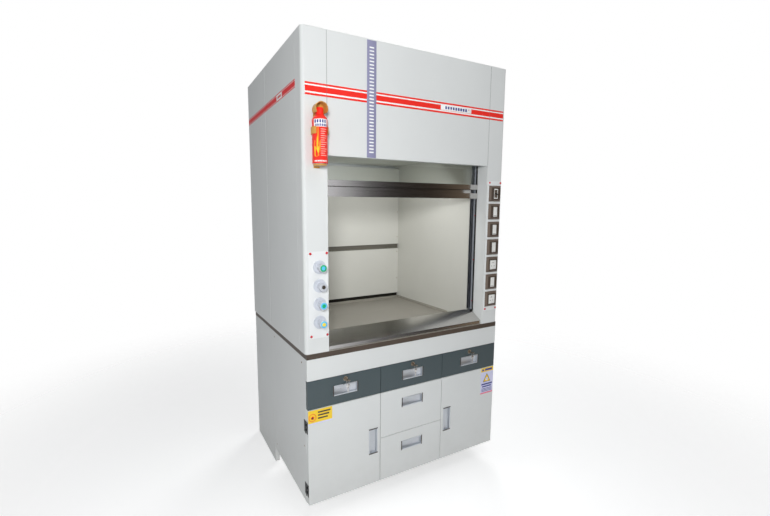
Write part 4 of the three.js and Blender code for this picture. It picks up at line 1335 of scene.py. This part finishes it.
ROOF = mm_box("top_panel")[1].z
spigot_bead = level_ring("spigot_bead", SPIGOT_X, SPIGOT_Y, ROOF - 14, 125.0, 2.4)
fit(spigot_bead, "hood", white_coat)
spigot_weld = level_ring("spigot_weld", SPIGOT_X, SPIGOT_Y, ROOF - 59, 126.0, 3.0)
fit(spigot_weld, "hood", white_coat)
roof_screws = [upright("screw", x, y, SCREW, ROOF - 60.2, ROOF - 58.6, 20)
               for x in (30, 320, 610, 900, 1190) for y in (40, 880)]
fit(join("roof_screws", roof_screws), "hood", nickel)
print("screws on the back and roof:", len(back_screws), len(roof_screws))

# %% [markdown]
# Each cable pulley turns on a spindle held by two straps that drop from the roof.

# %% Pulley hangers
def hanger(name, low, high):
    x, z = (low.x + high.x) / 2, (low.z + high.z) / 2
    parts = [plate("strap", (x - 11, y, z - 17), (x + 11, y + 3, header_high.z - 0.3), 0.6)
             for y in (low.y - 4.5, high.y + 1.5)]
    parts.append(disc("spindle", (x, z), 5.7, low.y - 6.5, high.y + 6.5, 28, 0.5))
    return join(name, parts)


left_hanger = hanger("pulley_hanger_left", *mm_box("sash_pulley_left"))
fit_both(left_hanger, "pulley_hanger_right", nickel)
print("pulleys hung")

# %% [markdown]
# A levelling foot is a threaded rod with a six-sided lock nut. A stack of rings stands for the
# thread, because at this size a true helix looks no different.

# %% Levelling nuts
for corner in ("front_left", "front_right", "back_left", "back_right"):
    foot = middle_of("foot_" + corner)
    nut = upright("nut", foot.x, foot.y, 15, -12, -1, 6, 1.0)
    threads = [level_ring("thread", foot.x, foot.y, -22 - k * 5, 8.0, 0.9) for k in range(10)]
    fit(join("foot_nut_" + corner, [nut] + threads), "hood", nickel)
print("feet finished")

# %% [markdown]
# The floor is a plain pale disc whose edge fades away, so no horizon shows behind the hood. It isn't
# part of the hood.

# %% Floor
FLOOR_RADIUS = 4.0
FADE_FROM, FADE_TO = 1.2, 3.6
fresh()
bpy.ops.mesh.primitive_circle_add(vertices=96, radius=FLOOR_RADIUS, fill_type="NGON", location=(0, 0, 0))
floor = bpy.context.object
floor.name = "floor"
floor_finish, tree, shader = new_material("pale_floor", Roughness=0.9)
shader.inputs["Base Color"].default_value = (0.92, 0.92, 0.92, 1)
shader.inputs["Specular IOR Level"].default_value = 0.0
shader.inputs["Emission Strength"].default_value = 1.0
where = tree.nodes.new("ShaderNodeTexCoord")
reach = tree.nodes.new("ShaderNodeVectorMath")
reach.operation = "LENGTH"
tree.links.new(where.outputs["Object"], reach.inputs[0])
fade = tree.nodes.new("ShaderNodeMapRange")
fade.interpolation_type = "SMOOTHSTEP"
fade.inputs["From Min"].default_value = FADE_FROM
fade.inputs["From Max"].default_value = FADE_TO
fade.inputs["To Min"].default_value = 1.0
fade.inputs["To Max"].default_value = 0.0
tree.links.new(reach.outputs["Value"], fade.inputs["Value"])
tree.links.new(fade.outputs["Result"], shader.inputs["Alpha"])
seen = tree.nodes.new("ShaderNodeLightPath")
glow = tint(tree, seen.outputs["Is Camera Ray"], (0, 0, 0), (0.33, 0.33, 0.33))
tree.links.new(glow, shader.inputs["Emission Color"])
floor.data.materials.append(floor_finish)
print("floor fades from", FADE_FROM, "to", FADE_TO, "metres")
